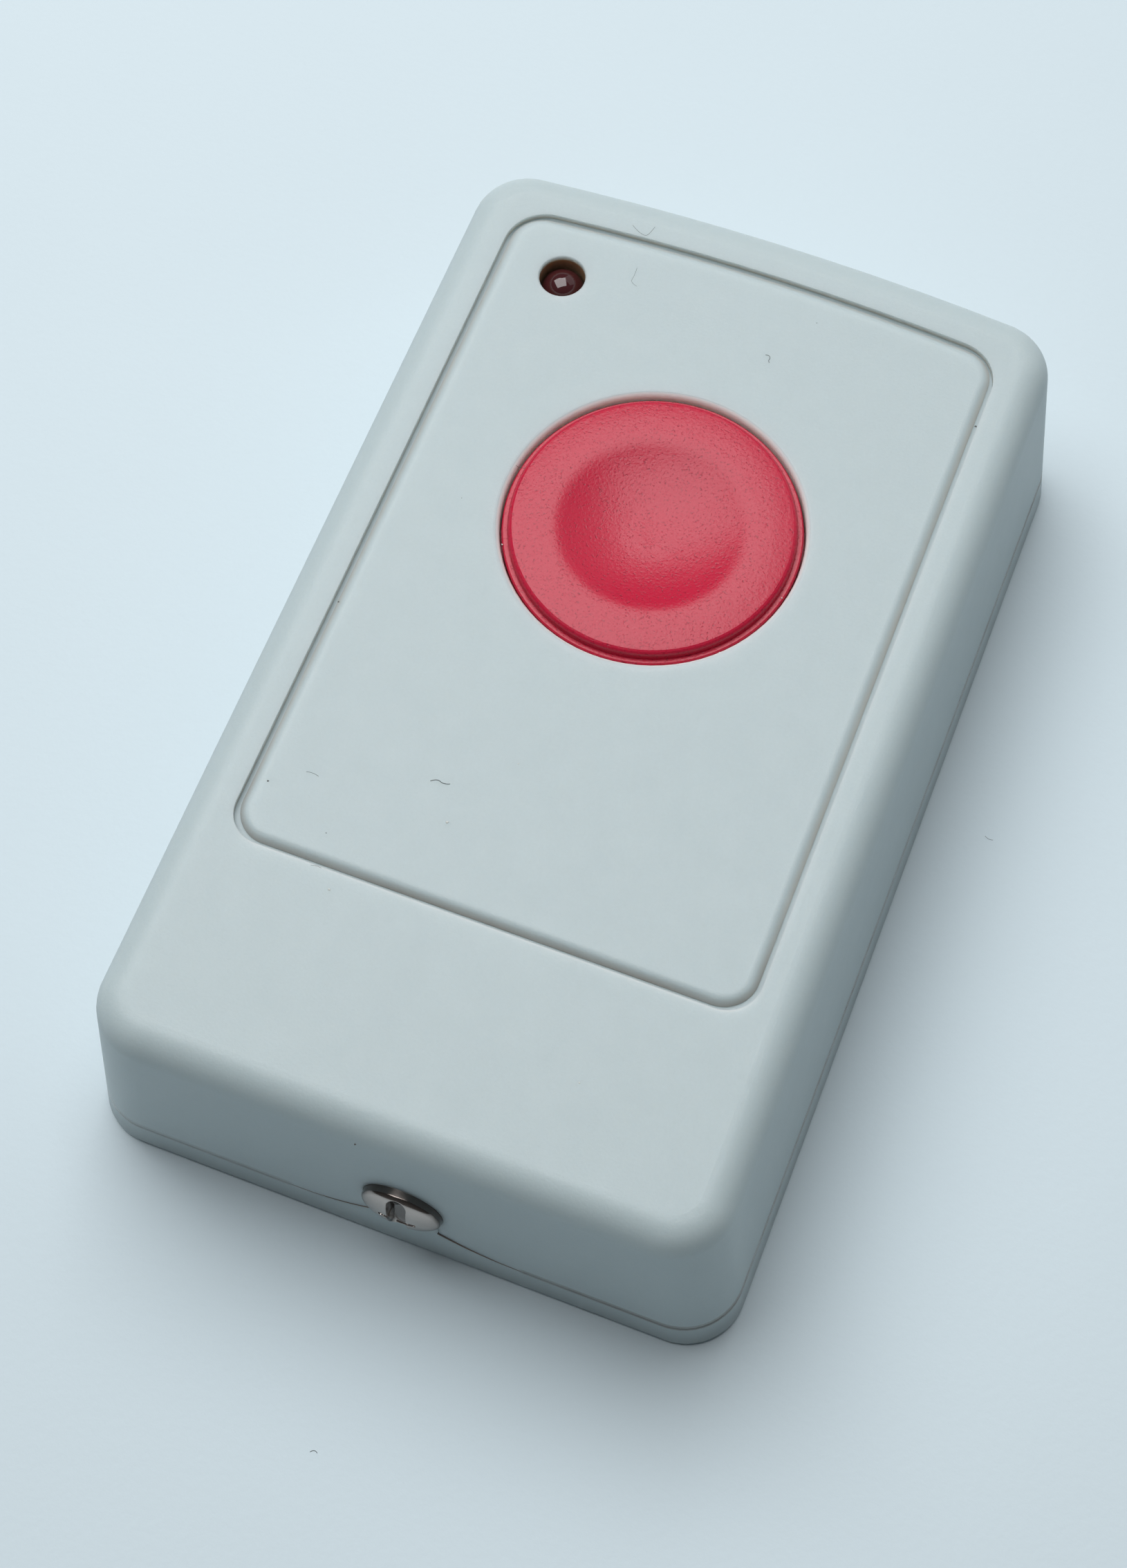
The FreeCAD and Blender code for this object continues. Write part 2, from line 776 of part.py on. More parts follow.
def draw_tongue(sketch, gap, foot=None):
    """The lower shell's tongue as seen from the front: two concave flares that rise from
    the seam, straight flanks and a round head about the screw."""
    seam = f"({TRAY_TOP} + ({gap}))"
    half = f"(TongueHalfWidth + {gap})"
    flare = f"(TongueFlareRadius - {gap})"
    climb = f"({flare} - sqrt({flare} ^ 2 - (TongueFlareReach - {half}) ^ 2))"
    left, right = f"ScrewAside - {half}", f"ScrewAside + {half}"
    far_left, far_right = "ScrewAside - TongueFlareReach", "ScrewAside + TongueFlareReach"
    points = [
        (far_right, seam, flare, -1),
        (right, f"{seam} + {climb}"),
        (right, "ScrewHeight", half, 1),
        ("ScrewAside", f"ScrewHeight + {half}", half, 1),
        (left, "ScrewHeight"),
        (left, f"{seam} + {climb}", flare, -1),
        (far_left, seam),
    ]
    if foot:
        points += [(far_left, foot), (far_right, foot)]
    draw_loop(sketch, points)


def cut_screw_seat(body):
    """A shallow flat face under the screw head, square to the screw."""
    sketch = new_sketch(body, "seat_circle", "XZ_Plane", f"{SCREW_SEAT} + Overrun")
    draw_circle(sketch, "ScrewAside", "ScrewHeight", "ScrewHeadRadius + HoleGap")
    pocket(body, "screw_seat", sketch, "Overrun")


# Upper shell: a drafted cover with a recessed line round its panel, and inside it the boss
# for the screw insert, the cap's guide ring, hold-down ribs and the recesses for the hooks

def cut_panel_line(body):
    """The sunk line round the panel, with the panel's own edge sloped and blended."""
    sketch = new_sketch(body, "panel_line", "XY_Plane", "CaseHeight")
    outline(sketch, "PanelHalfWidth", "PanelFront", "PanelEnd",
            "PanelNearCorner", "PanelFarCorner", "PanelBowRadius")
    inner = outline(
        sketch,
        "PanelHalfWidth - PanelGrooveWidth", "PanelFront - PanelGrooveWidth",
        "PanelEnd - PanelGrooveWidth", "PanelIslandCorner", "PanelIslandCorner",
        "PanelBowRadius - PanelGrooveWidth",
    )
    pocket(body, "panel_groove", sketch, "PanelGrooveDepth")
    slope_edges(body, "panel_slope", drawn_edge(sketch, inner), "PanelEdgeWidth",
                "PanelEdgeDrop")
    level, far_side = amount("CaseHeight"), amount("PanelHalfWidth - PanelGrooveWidth")
    near, far = -amount("PanelFront - PanelGrooveWidth"), amount("PanelEnd - PanelGrooveWidth")
    flat = level_edge(level)

    def panel_rim(edge):
        box = edge.BoundBox
        return (flat(edge) and box.XMin > -far_side and box.XMax < far_side
                and box.YMin > near and box.YMax < far)
    round_edges(body, "panel_edge", panel_rim, "PanelEdgeBlend")


def cut_top_hole(body, name, x_text, y_text, radius, edge):
    """A round hole through the roof with a rounded mouth."""
    sketch = new_sketch(body, name + "_circle", "XY_Plane", "CaseHeight")
    draw_circle(sketch, x_text, y_text, radius)
    pocket(body, name, sketch, "RoofThickness + Overrun")
    sketch = new_sketch(body, name + "_mouth_profile", "XZ_Plane", f"-({y_text})")
    inside, above = f"{x_text} + {radius} / 2", "CaseHeight + Overrun"
    draw_loop(sketch, [
        *banded_arc(f"{x_text} + {radius} + {edge}", f"CaseHeight - {edge}", edge, 180, 90),
        (f"{x_text} + {radius} + {edge}", above),
        (inside, above),
        (inside, f"CaseHeight - {edge}"),
    ])
    axis = draw_axis(sketch, x_text, "CaseHeight", above)
    groove(body, name + "_mouth", sketch, axis)


def add_screw_boss(body):
    """The boss behind the front wall that carries the brass insert."""
    sketch = new_sketch(body, "boss_profile", "XZ_Plane", BOSS_END)
    left, right = "ScrewAside - BossRadius", "ScrewAside + BossRadius"
    draw_loop(sketch, [
        (left, "ScrewHeight", "BossRadius", 1),
        ("ScrewAside", "ScrewHeight - BossRadius", "BossRadius", 1),
        (right, "ScrewHeight"),
        (right, f"{ROOF} + RootDepth"),
        (left, f"{ROOF} + RootDepth"),
    ])
    pad(body, "boss", sketch, "BossDepth + TongueThickness / 2")


def cut_tongue_notch(body):
    """The notch in the front wall that takes the lower shell's tongue, and the bores."""
    sketch = front_sketch(body, "notch_profile", "Overrun")
    draw_tongue(sketch, "TongueGap", "FloorThickness")
    pocket(body, "notch", sketch, "Overrun + TongueThickness + TongueGap")
    sketch = new_sketch(body, "insert_circle", "XZ_Plane", f"{INSERT_FRONT} + Overrun")
    draw_circle(sketch, "ScrewAside", "ScrewHeight", "InsertRadius + FitGap")
    pocket(body, "insert_bore", sketch, "InsertLength + Overrun")
    sketch = new_sketch(body, "tip_circle", "XZ_Plane", INSERT_FRONT)
    draw_circle(sketch, "ScrewAside", "ScrewHeight", "BossBoreRadius")
    pocket(body, "tip_bore", sketch, "BossDepth + Overrun")
    cut_screw_seat(body)


def add_cap_guide(body):
    """The ring under the roof that centres the cap's flange, slotted for the cap's key."""
    sketch = new_sketch(body, "guide_rings", "XY_Plane", ROOF)
    draw_circle(sketch, "0", "ButtonPlace", "CapFlangeRadius + GuideGap")
    draw_circle(sketch, "0", "ButtonPlace", "CapFlangeRadius + GuideGap + GuideThickness")
    pad(body, "guide_ring", sketch, "GuideDepth", backward=True)
    sketch = new_sketch(body, "key_slot_box", "XY_Plane", ROOF)
    half = "(CapKeyWidth / 2 + GuideGap)"
    reach = "ButtonPlace - CapFlangeRadius"
    draw_box(sketch, f"-{half}", f"{reach} - GuideGap - GuideThickness - RootDepth", half, reach)
    pocket(body, "key_slot", sketch, "GuideDepth", backward=False)


def add_hold_downs(body):
    """Two ribs that keep the battery in its cradle and two posts that press on the board."""
    sketch = new_sketch(body, "hold_rib_profile", "YZ_Plane", "CradleAside")
    hold = "(BatteryRadius + HoldGap)"
    drop = f"{BATTERY_LEVEL} + sqrt({hold} ^ 2 - CradleReach ^ 2)"
    near, far = "-BatteryPlace - CradleReach", "-BatteryPlace + CradleReach"
    draw_loop(sketch, [
        (near, f"{ROOF} + RootDepth"),
        (near, drop, hold, -1),
        (far, drop),
        (far, f"{ROOF} + RootDepth"),
    ])
    rib = pad(body, "hold_rib", sketch, "CradleThickness")
    mirror(body, "hold_ribs", rib)
    sketch = new_sketch(body, "press_post_circle", "XY_Plane", "BoardTop + HoldGap")
    draw_circle(sketch, "PostAside", "PressPlace", "PressRadius")
    post = pad(body, "press_post", sketch, f"{ROOF} + RootDepth - BoardTop - HoldGap")
    mirror(body, "press_posts", post)


def cut_hook_recesses(body):
    """Two blind recesses inside the far wall that the lower shell's hooks snap into."""
    sketch = new_sketch(body, "hook_recess_box", "XZ_Plane", f"-{HOOK_FACE} + Overrun")
    low = f"{HOOK_TOP} - HookCatch - HookGap"
    high = f"{HOOK_TOP} + HookGap"
    draw_box(sketch, "HookAside - HookWidth / 2 - HookGap", low,
             "HookAside + HookWidth / 2 + HookGap", high)
    recess = pocket(body, "hook_recess", sketch, "HookNib + HookGap + Overrun")
    mirror(body, "hook_recesses", recess)


def make_upper_shell():
    body = new_body("upper_shell")
    case_form(body, "SeamHeight", "CaseHeight")
    hollow_out(body, "hollow", level_face(amount("SeamHeight")), "WallThickness")
    round_edges(body, "top_edge", level_edge(amount("CaseHeight")), "TopEdgeRadius")
    bevel_edges(body, "seam_edge", rim_edge(body, amount("SeamHeight")), "SeamEdgeBevel")
    sketch = new_sketch(body, "rebate_outline", "XY_Plane", "SeamHeight")
    case_outline(sketch, "SeamHeight", "WallThickness - LipThickness - LipGap")
    pocket(body, "rebate", sketch, "LipHeight + LipGap", backward=True)
    cut_panel_line(body)
    cut_top_hole(body, "button_hole", "0", "ButtonPlace", "ButtonHoleRadius", "ButtonHoleEdge")
    cut_top_hole(body, "lamp_hole", "-LampAside", "LampPlace", "LampHoleRadius", "LampHoleEdge")
    add_screw_boss(body)
    cut_tongue_notch(body)
    add_cap_guide(body)
    add_hold_downs(body)
    cut_hook_recesses(body)
    return body


# Lower shell: a shallow tray with a lip round its rim, the tongue for the screw, two hooks at
# the far end, posts for the board, a cradle for the battery and rails for its contacts

def add_tongue(body):
    sketch = front_sketch(body, "tongue_profile")
    draw_tongue(sketch, "0")
    pad(body, "tongue", sketch, "TongueThickness", backward=True)
    sketch = new_sketch(body, "tongue_hole_circle", "XZ_Plane", "CaseLength / 2 + Overrun")
    draw_circle(sketch, "ScrewAside", "ScrewHeight", "TongueHoleRadius")
    pocket(body, "tongue_hole", sketch, "TongueThickness + 2 * Overrun")
    cut_screw_seat(body)


def add_board_posts(body):
    """Two posts with screw holes on one diagonal, and two with locating pins on the other."""
    base = "(FloorThickness - RootDepth)"
    sketch = new_sketch(body, "post_circles", "XY_Plane", base)
    places = [("-PostAside", "-NearPostPlace"), ("PostAside", "FarPostPlace"),
              ("PostAside", "-NearPostPlace"), ("-PostAside", "PinPlace")]
    for x_text, y_text in places:
        draw_circle(sketch, x_text, y_text, "PostRadius")
    pad(body, "posts", sketch, f"BoardHeight - {base}")
    sketch = new_sketch(body, "pilot_circles", "XY_Plane", "BoardHeight")
    for x_text, y_text in places[:2]:
        draw_circle(sketch, x_text, y_text, "BoardScrewRadius + FitGap")
    pocket(body, "pilot_holes", sketch, "BoardScrewLength - BoardThickness + HoldGap")
    sketch = new_sketch(body, "pin_circles", "XY_Plane", "BoardHeight - RootDepth")
    for x_text, y_text in places[2:]:
        draw_circle(sketch, x_text, y_text, "PinRadius")
    pad(body, "pins", sketch, "BoardThickness + PinRise + RootDepth")


def add_battery_cradle(body):
    """Two cross ribs hollowed to the battery, and a backing wall behind each contact."""
    sketch = new_sketch(body, "cradle_profile", "YZ_Plane", "CradleAside")
    seat = "(BatteryRadius + CradleGap)"
    rise = f"{BATTERY_LEVEL} - sqrt({seat} ^ 2 - CradleReach ^ 2)"
    near, far = "-BatteryPlace - CradleReach", "-BatteryPlace + CradleReach"
    draw_loop(sketch, [
        (near, "FloorThickness - RootDepth"),
        (far, "FloorThickness - RootDepth"),
        (far, rise, seat, -1),
        (near, rise),
    ])
    cradle = pad(body, "cradle", sketch, "CradleThickness")
    mirror(body, "cradles", cradle)
    sketch = new_sketch(body, "rail_profile", "XY_Plane", "FloorThickness - RootDepth")
    front = f"({CONTACT_FACE} + ContactThickness)"
    half, cheek = "(ContactSize / 2 + HoleGap)", "ContactRailThickness"
    draw_loop(sketch, [
        (f"{front} + {cheek}", f"-BatteryPlace - {half} - {cheek}"),
        (f"{front} + {cheek}", f"-BatteryPlace + {half} + {cheek}"),
        (f"{front} - ContactGrip", f"-BatteryPlace + {half} + {cheek}"),
        (f"{front} - ContactGrip", f"-BatteryPlace + {half}"),
        (front, f"-BatteryPlace + {half}"),
        (front, f"-BatteryPlace - {half}"),
        (f"{front} - ContactGrip", f"-BatteryPlace - {half}"),
        (f"{front} - ContactGrip", f"-BatteryPlace - {half} - {cheek}"),
    ])
    rail = pad(body, "contact_rail", sketch, "ContactRailHeight")
    mirror(body, "contact_rails", rail)


def add_hooks(body):
    """Two spring hooks that stand inside the far wall, each with a sloped catch."""
    sketch = new_sketch(body, "hook_profile", "YZ_Plane", "HookAside - HookWidth / 2")
    face, back = HOOK_FACE, f"({HOOK_FACE} - HookThickness)"
    nib = f"({HOOK_FACE} + HookNib)"
    catch = f"{HOOK_TOP} - HookCatch"
    draw_loop(sketch, [
        (back, "FloorThickness - RootDepth"),
        (face, "FloorThickness - RootDepth"),
        (face, catch),
        (nib, catch),
        (nib, f"{catch} + HookNib / 2"),
        (face, HOOK_TOP),
        (back, HOOK_TOP),
    ])
    hook = pad(body, "hook", sketch, "HookWidth")
    mirror(body, "hooks", hook)


def make_lower_shell():
    body = new_body("lower_shell")
    case_form(body, "0", TRAY_TOP)
    bevel_edges(body, "foot_edge", level_edge(0.0), "FootEdgeBevel")
    sketch = new_sketch(body, "lip_outline", "XY_Plane", f"{TRAY_TOP} - RootDepth")
    case_outline(sketch, "SeamHeight", "WallThickness - LipThickness")
    pad(body, "lip", sketch, f"SeamHeight + LipHeight - {TRAY_TOP} + RootDepth")
    sketch = new_sketch(body, "hollow_outline", "XY_Plane", "SeamHeight + LipHeight")
    case_outline(sketch, "SeamHeight", "WallThickness")
    pocket(body, "hollow", sketch, "SeamHeight + LipHeight - FloorThickness")
    add_tongue(body)
    add_board_posts(body)
    add_battery_cradle(body)
    add_hooks(body)
    return body


# Button: the round cap with its dished face, ledge, flange and key, and a stem underneath

def make_button_cap():
    body = new_body("button_cap")
    place(body, "0", "ButtonPlace", "0")
    face, ledge = "(CaseHeight + CapFaceRise)", "(CaseHeight - CapLedgeDrop)"
    dish = "((CapDishRadius ^ 2 + CapDishDepth ^ 2) / (2 * CapDishDepth))"
    edge_middle = "(CapFaceRadius - CapEdgeRadius)"
    crown_drop = ("(CapCrownRadius"
                  f" - sqrt(CapCrownRadius ^ 2 - ({edge_middle} - CapCrownStart) ^ 2))")
    edge_level = f"({face} - {crown_drop} - CapEdgeRadius)"
    stem_end = "(CapUnderside - CapStemLength)"
    sketch = new_sketch(body, "cap_profile", "XZ_Plane")
    draw_loop(sketch, [
        ("0", f"{face} - CapDishDepth", dish, 1),
        ("CapDishRadius", face),
        ("CapCrownStart", face, "CapCrownRadius", -1),
        *banded_arc(edge_middle, edge_level, "CapEdgeRadius", 90, 0),
        ("CapFaceRadius", ledge),
        ("CapRadius", ledge),
        ("CapRadius", FLANGE_TOP),
        ("CapFlangeRadius", FLANGE_TOP),
        ("CapFlangeRadius", f"{FLANGE_TOP} - CapFlangeThickness"),
        ("CapRadius - CapWall", f"{FLANGE_TOP} - CapFlangeThickness"),
        ("CapRadius - CapWall", "CapUnderside"),
        ("CapStemRadius", "CapUnderside"),
        ("CapStemRadius", stem_end),
        ("0", stem_end),
    ])
    revolve(body, "cap_turned", sketch)
    rim = ring_edge(amount(face), amount("CapDishRadius"))
    round_edges(body, "dish_blend", rim, "CapDishBlend")
    step = ring_edge(amount(ledge), amount("CapRadius"))
    bevel_edges(body, "ledge_edge", step, "CapLedgeBevel")
    half = "CapRibThickness / 2"
    reach = "CapRadius - CapWall / 2"
    for name, wide, deep in (("rib_across", reach, half), ("rib_along", half, reach)):
        sketch = new_sketch(body, name + "_box", "XY_Plane", "CapUnderside - CapRibDepth")
        draw_box(sketch, f"-({wide})", f"-({deep})", wide, deep)
        pad(body, name, sketch, "CapRibDepth + CapWall / 2")
    sketch = new_sketch(body, "key_box", "XY_Plane", f"{FLANGE_TOP} - CapFlangeThickness")
    draw_box(sketch, "-CapKeyWidth / 2", "-CapFlangeRadius - CapKeyReach",
             "CapKeyWidth / 2", "-CapFlangeRadius + CapKeyReach")
    pad(body, "key", sketch, "CapFlangeThickness")
    return body


# Case screw and its insert: a domed machine screw with a cross recess, driven through the
# tongue into a brass insert in the upper shell's boss

def make_case_screw():
    body = new_body("case_screw")
    place(body, "ScrewAside", f"-{SCREW_SEAT}", "ScrewHeight")
    crown_drop = "(ScrewHeadCrown - sqrt(ScrewHeadCrown ^ 2 - ScrewHeadRadius ^ 2))"
    sketch = new_sketch(body, "screw_profile", "XY_Plane")
    draw_loop(sketch, [
        ("0", "-ScrewHeadHeight", "ScrewHeadCrown", 1),
        ("ScrewHeadRadius", f"{crown_drop} - ScrewHeadHeight"),
        ("ScrewHeadRadius", "0"),
        ("ScrewRadius", "0"),
        ("ScrewRadius", "ScrewLength - ScrewTip"),
        ("ScrewRadius - ScrewTip", "ScrewLength"),
        ("0", "ScrewLength"),
    ])
    revolve(body, "screw_turned", sketch)

    def head_rim(edge):
        box = edge.BoundBox
        level = amount(f"{crown_drop} - ScrewHeadHeight")
        return abs(box.YMin - level) < SAME_PLACE and abs(box.YMax - level) < SAME_PLACE
    bevel_edges(body, "head_edge", head_rim, "ScrewHeadBevel")
    top, bottom = "-ScrewHeadHeight - RecessDepth / 2", "RecessDepth - ScrewHeadHeight"
    sketch = new_sketch(body, "recess_wings", "XY_Plane", "WingHalfWidth")
    draw_loop(sketch, [("-WingReach", top), ("WingReach", top),
                       ("WingReach / 2", bottom), ("-WingReach / 2", bottom)])
    pocket(body, "recess_slot_across", sketch, "2 * WingHalfWidth")
    sketch = new_sketch(body, "recess_upright", "YZ_Plane", "RecessHalfWidth")
    draw_loop(sketch, [(top, "-RecessReach"), (bottom, "-RecessReach / 2"),
                       (bottom, "RecessReach / 2"), (top, "RecessReach")])
    pocket(body, "recess_slot_upright", sketch, "2 * RecessHalfWidth")
    return body


def make_screw_insert():
    body = new_body("screw_insert")
    place(body, "ScrewAside", f"-{INSERT_FRONT}", "ScrewHeight")
    waist_low, waist_high = "InsertLength * 0.4", "InsertLength * 0.6"
    sketch = new_sketch(body, "insert_profile", "XY_Plane")
    draw_loop(sketch, [
        ("ScrewRadius + FitGap", "0"),
        ("InsertRadius", "0"),
        ("InsertRadius", waist_low),
        ("InsertRadius - InsertWaist", waist_low),
        ("InsertRadius - InsertWaist", waist_high),
        ("InsertRadius", waist_high),
        ("InsertRadius", "InsertLength"),
        ("ScrewRadius + FitGap", "InsertLength"),
    ])
    revolve(body, "insert_turned", sketch)
    return body


# Circuit board with its holes, and the two screws that hold it to its posts

def make_circuit_board():
    body = new_body("circuit_board")
    sketch = new_sketch(body, "board_outline", "XY_Plane", "BoardHeight")
    w, f, e, c = "BoardHalfWidth", "BoardFront", "BoardEnd", "BoardCorner"
    draw_loop(sketch, [
        (f"-{w} + {c}", f"-{f}"), (f"{w} - {c}", f"-{f}", c, 1),
        (w, f"-{f} + {c}"), (w, f"{e} - {c}", c, 1),
        (f"{w} - {c}", e), (f"-{w} + {c}", e, c, 1),
        (f"-{w}", f"{e} - {c}"), (f"-{w}", f"-{f} + {c}", c, 1),
    ])
    pad(body, "board", sketch, "BoardThickness")
    holes = [
        ("-PostAside", "-NearPostPlace", "BoardScrewRadius + HoleGap"),
        ("PostAside", "FarPostPlace", "BoardScrewRadius + HoleGap"),
        ("PostAside", "-NearPostPlace", "PinRadius + HoleGap"),
        ("-PostAside", "PinPlace", "PinRadius + HoleGap"),
    ]
    holes += [(x, y, "LeadHoleRadius") for x, y in LEAD_PLACES]
    sketch = new_sketch(body, "board_holes", "XY_Plane", "BoardTop")
    for x_text, y_text, radius in holes:
        draw_circle(sketch, x_text, y_text, radius)
    pocket(body, "drilled", sketch, "BoardThickness + Overrun")
    return body


def make_board_screws():
    """Two pan-head screws with a straight slot."""
    screws = []
    for side, x_text, y_text in (("near", "-PostAside", "-NearPostPlace"),
                                 ("far", "PostAside", "FarPostPlace")):
        shank = cylinder(f"board_screw_shank_{side}", x_text, y_text,
                         "BoardTop - BoardScrewLength", "BoardScrewRadius",
                         "BoardScrewLength + BoardScrewHeadHeight / 2")
        head = cylinder(f"board_screw_head_{side}", x_text, y_text, "BoardTop",
                        "BoardScrewHeadRadius", "BoardScrewHeadHeight")
        slot = box(f"board_screw_slot_{side}",
                   f"{x_text} - BoardScrewHeadRadius", f"{y_text} - BoardScrewSlot / 2",
                   "BoardTop + BoardScrewHeadHeight - BoardScrewSlot",
                   "2 * BoardScrewHeadRadius", "BoardScrewSlot", "BoardScrewSlot")
        screws.append(cut(f"board_screw_{side}", fuse(f"board_screw_blank_{side}",
                                                      [shank, head]), slot))
    return group("board_screws", screws)


# Push switch: a square housing with a pit, a snap dome with a sloped skirt and a flat crown,
# a plunger and a pressed cover plate

def rounded_square(sketch, half, corner):
    draw_loop(sketch, [
        (f"{corner} - {half}", f"-{half}"), (f"{half} - {corner}", f"-{half}", corner, 1),
        (half, f"{corner} - {half}"), (half, f"{half} - {corner}", corner, 1),
        (f"{half} - {corner}", half), (f"{corner} - {half}", half, corner, 1),
        (f"-{half}", f"{half} - {corner}"), (f"-{half}", f"{corner} - {half}", corner, 1),
    ])


def make_switch_housing():
    body = new_body("switch_housing")
    place(body, "0", "ButtonPlace", "BoardTop")
    sketch = new_sketch(body, "housing_square", "XY_Plane")
    rounded_square(sketch, "SwitchSize / 2", "SwitchCorner")
    pad(body, "housing", sketch, "SwitchHeight")
    sketch = new_sketch(body, "pit_circle", "XY_Plane", "SwitchHeight")
    draw_circle(sketch, "0", "0", "SwitchPitRadius")
    pocket(body, "pit", sketch, "SwitchHeight - SwitchPitFloor")
    return body


def make_switch_cover():
    body = new_body("switch_cover")
    place(body, "0", "ButtonPlace", "BoardTop + SwitchHeight")
    sketch = new_sketch(body, "cover_square", "XY_Plane")
    rounded_square(sketch, "SwitchSize / 2", "SwitchCorner")
    draw_circle(sketch, "0", "0", "SwitchCoverHoleRadius")
    pad(body, "cover_plate", sketch, "SwitchCoverThickness")
    return body


def make_switch_dome():
    body = new_body("switch_dome")
    place(body, "0", "ButtonPlace", "BoardTop + SwitchPitFloor")
    lean = "((DomeRadius - DomeCrownRadius) / DomeRise)"
    sketch = new_sketch(body, "dome_profile", "XZ_Plane")
    draw_loop(sketch, [
        (f"DomeRadius - DomeThickness * {lean}", "0"),
        ("DomeRadius", "0"),
        ("DomeCrownRadius", "DomeRise"),
        ("0", "DomeRise"),
        ("0", "DomeRise - DomeThickness"),
        ("DomeCrownRadius", "DomeRise - DomeThickness"),
    ])
    revolve(body, "dome_pressed", sketch)
    return body


def make_switch_plunger():
    body = new_body("switch_plunger")
    place(body, "0", "ButtonPlace", "BoardTop")
    base_top = "(SwitchHeight - PlungerGap)"
    base_low = f"({base_top} - PlungerBaseThickness)"
    collar_top = "(SwitchHeight + SwitchCoverThickness + PlungerCollarRise)"
    nib_low = "(SwitchPitFloor + DomeRise + PlungerGap)"
    sketch = new_sketch(body, "plunger_profile", "XZ_Plane")
    draw_loop(sketch, [
        ("0", nib_low),
        ("PlungerNibRadius", nib_low),
        ("PlungerNibRadius", base_low),
        ("PlungerBaseRadius", base_low),
        ("PlungerBaseRadius", base_top),
        ("PlungerRadius", base_top),
        ("PlungerRadius", collar_top),
        ("0", collar_top),
    ])
    revolve(body, "plunger_turned", sketch)
    sketch = new_sketch(body, "stem_square", "XY_Plane", f"{collar_top} - PlungerCollarRise")
    half = "PlungerStemSize / 2"
    draw_box(sketch, f"-{half}", f"-{half}", half, half)
    pad(body, "stem", sketch, f"PlungerRise - {collar_top} + PlungerCollarRise")
    return body


def make_switch_terminals():
    strips = []
    for number, (x_text, y_text) in enumerate(TERMINAL_PLACES, start=1):
        strips.append(box(
            f"switch_terminal_{number}",
            f"{x_text} - TerminalThickness / 2", f"{y_text} - TerminalWidth / 2",
            "BoardHeight - SolderTail", "TerminalThickness", "TerminalWidth",
            "SolderTail + BoardThickness + SwitchHeight / 2",
        ))
    return group("switch_terminals", strips)


# Lamp: a small red lamp on two legs that stand it up in the case's hole

LAMP_TOP = "(CaseHeight - LampDrop)"


def make_led_lamp():
    body = new_body("led_lamp")
    place(body, "-LampAside", "LampPlace", f"{LAMP_TOP} - LampLength")
    ball = "((LampRadius ^ 2 + LampDomeHeight ^ 2) / (2 * LampDomeHeight))"
    sketch = new_sketch(body, "lamp_profile", "XZ_Plane")
    draw_loop(sketch, [
        ("0", "0"),
        ("LampFlangeRadius", "0"),
        ("LampFlangeRadius", "LampFlangeThickness"),
        ("LampRadius", "LampFlangeThickness"),
        ("LampRadius", "LampLength - LampDomeHeight", ball, 1),
        ("0", "LampLength"),
    ])
    revolve(body, "lamp_moulded", sketch)
    return body


def make_led_leads():
    return legs("led_leads", LAMP_LEADS, "LeadWidth", f"{LAMP_TOP} - LampLength")


# Battery with its contacts: a twelve-volt cell lying across the case, a flat contact at its
# positive end, and a plate with a bowed leaf spring at its negative end

def make_battery():
    body = new_body("battery")
    place(body, "SpringLength / 2", "-BatteryPlace", BATTERY_LEVEL, ALONG_X)
    half, shoulder = "BatteryLength / 2", "(BatteryLength / 2 - BatteryNubLength)"
    sketch = new_sketch(body, "cell_profile", "XZ_Plane")
    draw_loop(sketch, [
        ("0", f"-{half}"),
        ("BatteryRadius", f"-{half}"),
        ("BatteryRadius", shoulder),
        ("BatteryNubRadius", shoulder),
        ("BatteryNubRadius", half),
        ("0", half),
    ])
    revolve(body, "cell", sketch)
    for name, level in (("crimp_low", f"-{half}"), ("crimp_high", shoulder)):
        rim = ring_edge(amount(level), amount("BatteryRadius"))
        bevel_edges(body, name, rim, "BatteryEdgeBevel")
    return body


def make_contact(label, x_text):
    """A flat plate held by its rails, with a strap that runs onto the board's edge."""
    half = "ContactSize / 2"
    side = f"(BatteryPlace - {half})"
    plate = box(label + "_plate", x_text, f"-BatteryPlace - {half}", "FloorThickness",
                "ContactThickness", "ContactSize", f"{BATTERY_LEVEL} + {half} - FloorThickness")
    strap = box(label + "_strap", x_text, f"-{side} - RootDepth", "BoardTop",
                "ContactThickness", f"{side} + RootDepth - BoardFront + ContactFoot",
                "ContactStrapWidth")
    return fuse(label, [plate, strap])


def make_negative_spring():
    """A bowed leaf spring that stands on the negative plate and presses on the cell."""
    body = new_body("negative_spring")
    plate, leaf, bow = f"(-{CONTACT_FACE})", "SpringThickness", "(SpringLength - SpringThickness)"
    radius = f"((SpringReach ^ 2 + {bow} ^ 2) / (2 * {bow}))"
    inner = f"({radius} - {leaf})"
    inner_reach = f"sqrt({inner} ^ 2 - ({radius} - {bow} - {leaf}) ^ 2)"
    sketch = new_sketch(body, "leaf_profile", "XY_Plane", f"{BATTERY_LEVEL} - SpringWidth / 2")
    draw_loop(sketch, [
        (plate, "-BatteryPlace - SpringReach - SpringFoot"),
        (f"{plate} + {leaf}", "-BatteryPlace - SpringReach - SpringFoot"),
        (f"{plate} + {leaf}", "-BatteryPlace - SpringReach", radius, 1),
        (f"{plate} + {leaf}", "-BatteryPlace + SpringReach"),
        (f"{plate} + {leaf}", "-BatteryPlace + SpringReach + SpringFoot"),
        (plate, "-BatteryPlace + SpringReach + SpringFoot"),
        (plate, f"-BatteryPlace + {inner_reach}", inner, -1),
        (plate, f"-BatteryPlace - {inner_reach}"),
    ])
    pad(body, "leaf", sketch, "SpringWidth")
    return body


# Radio parts on the board

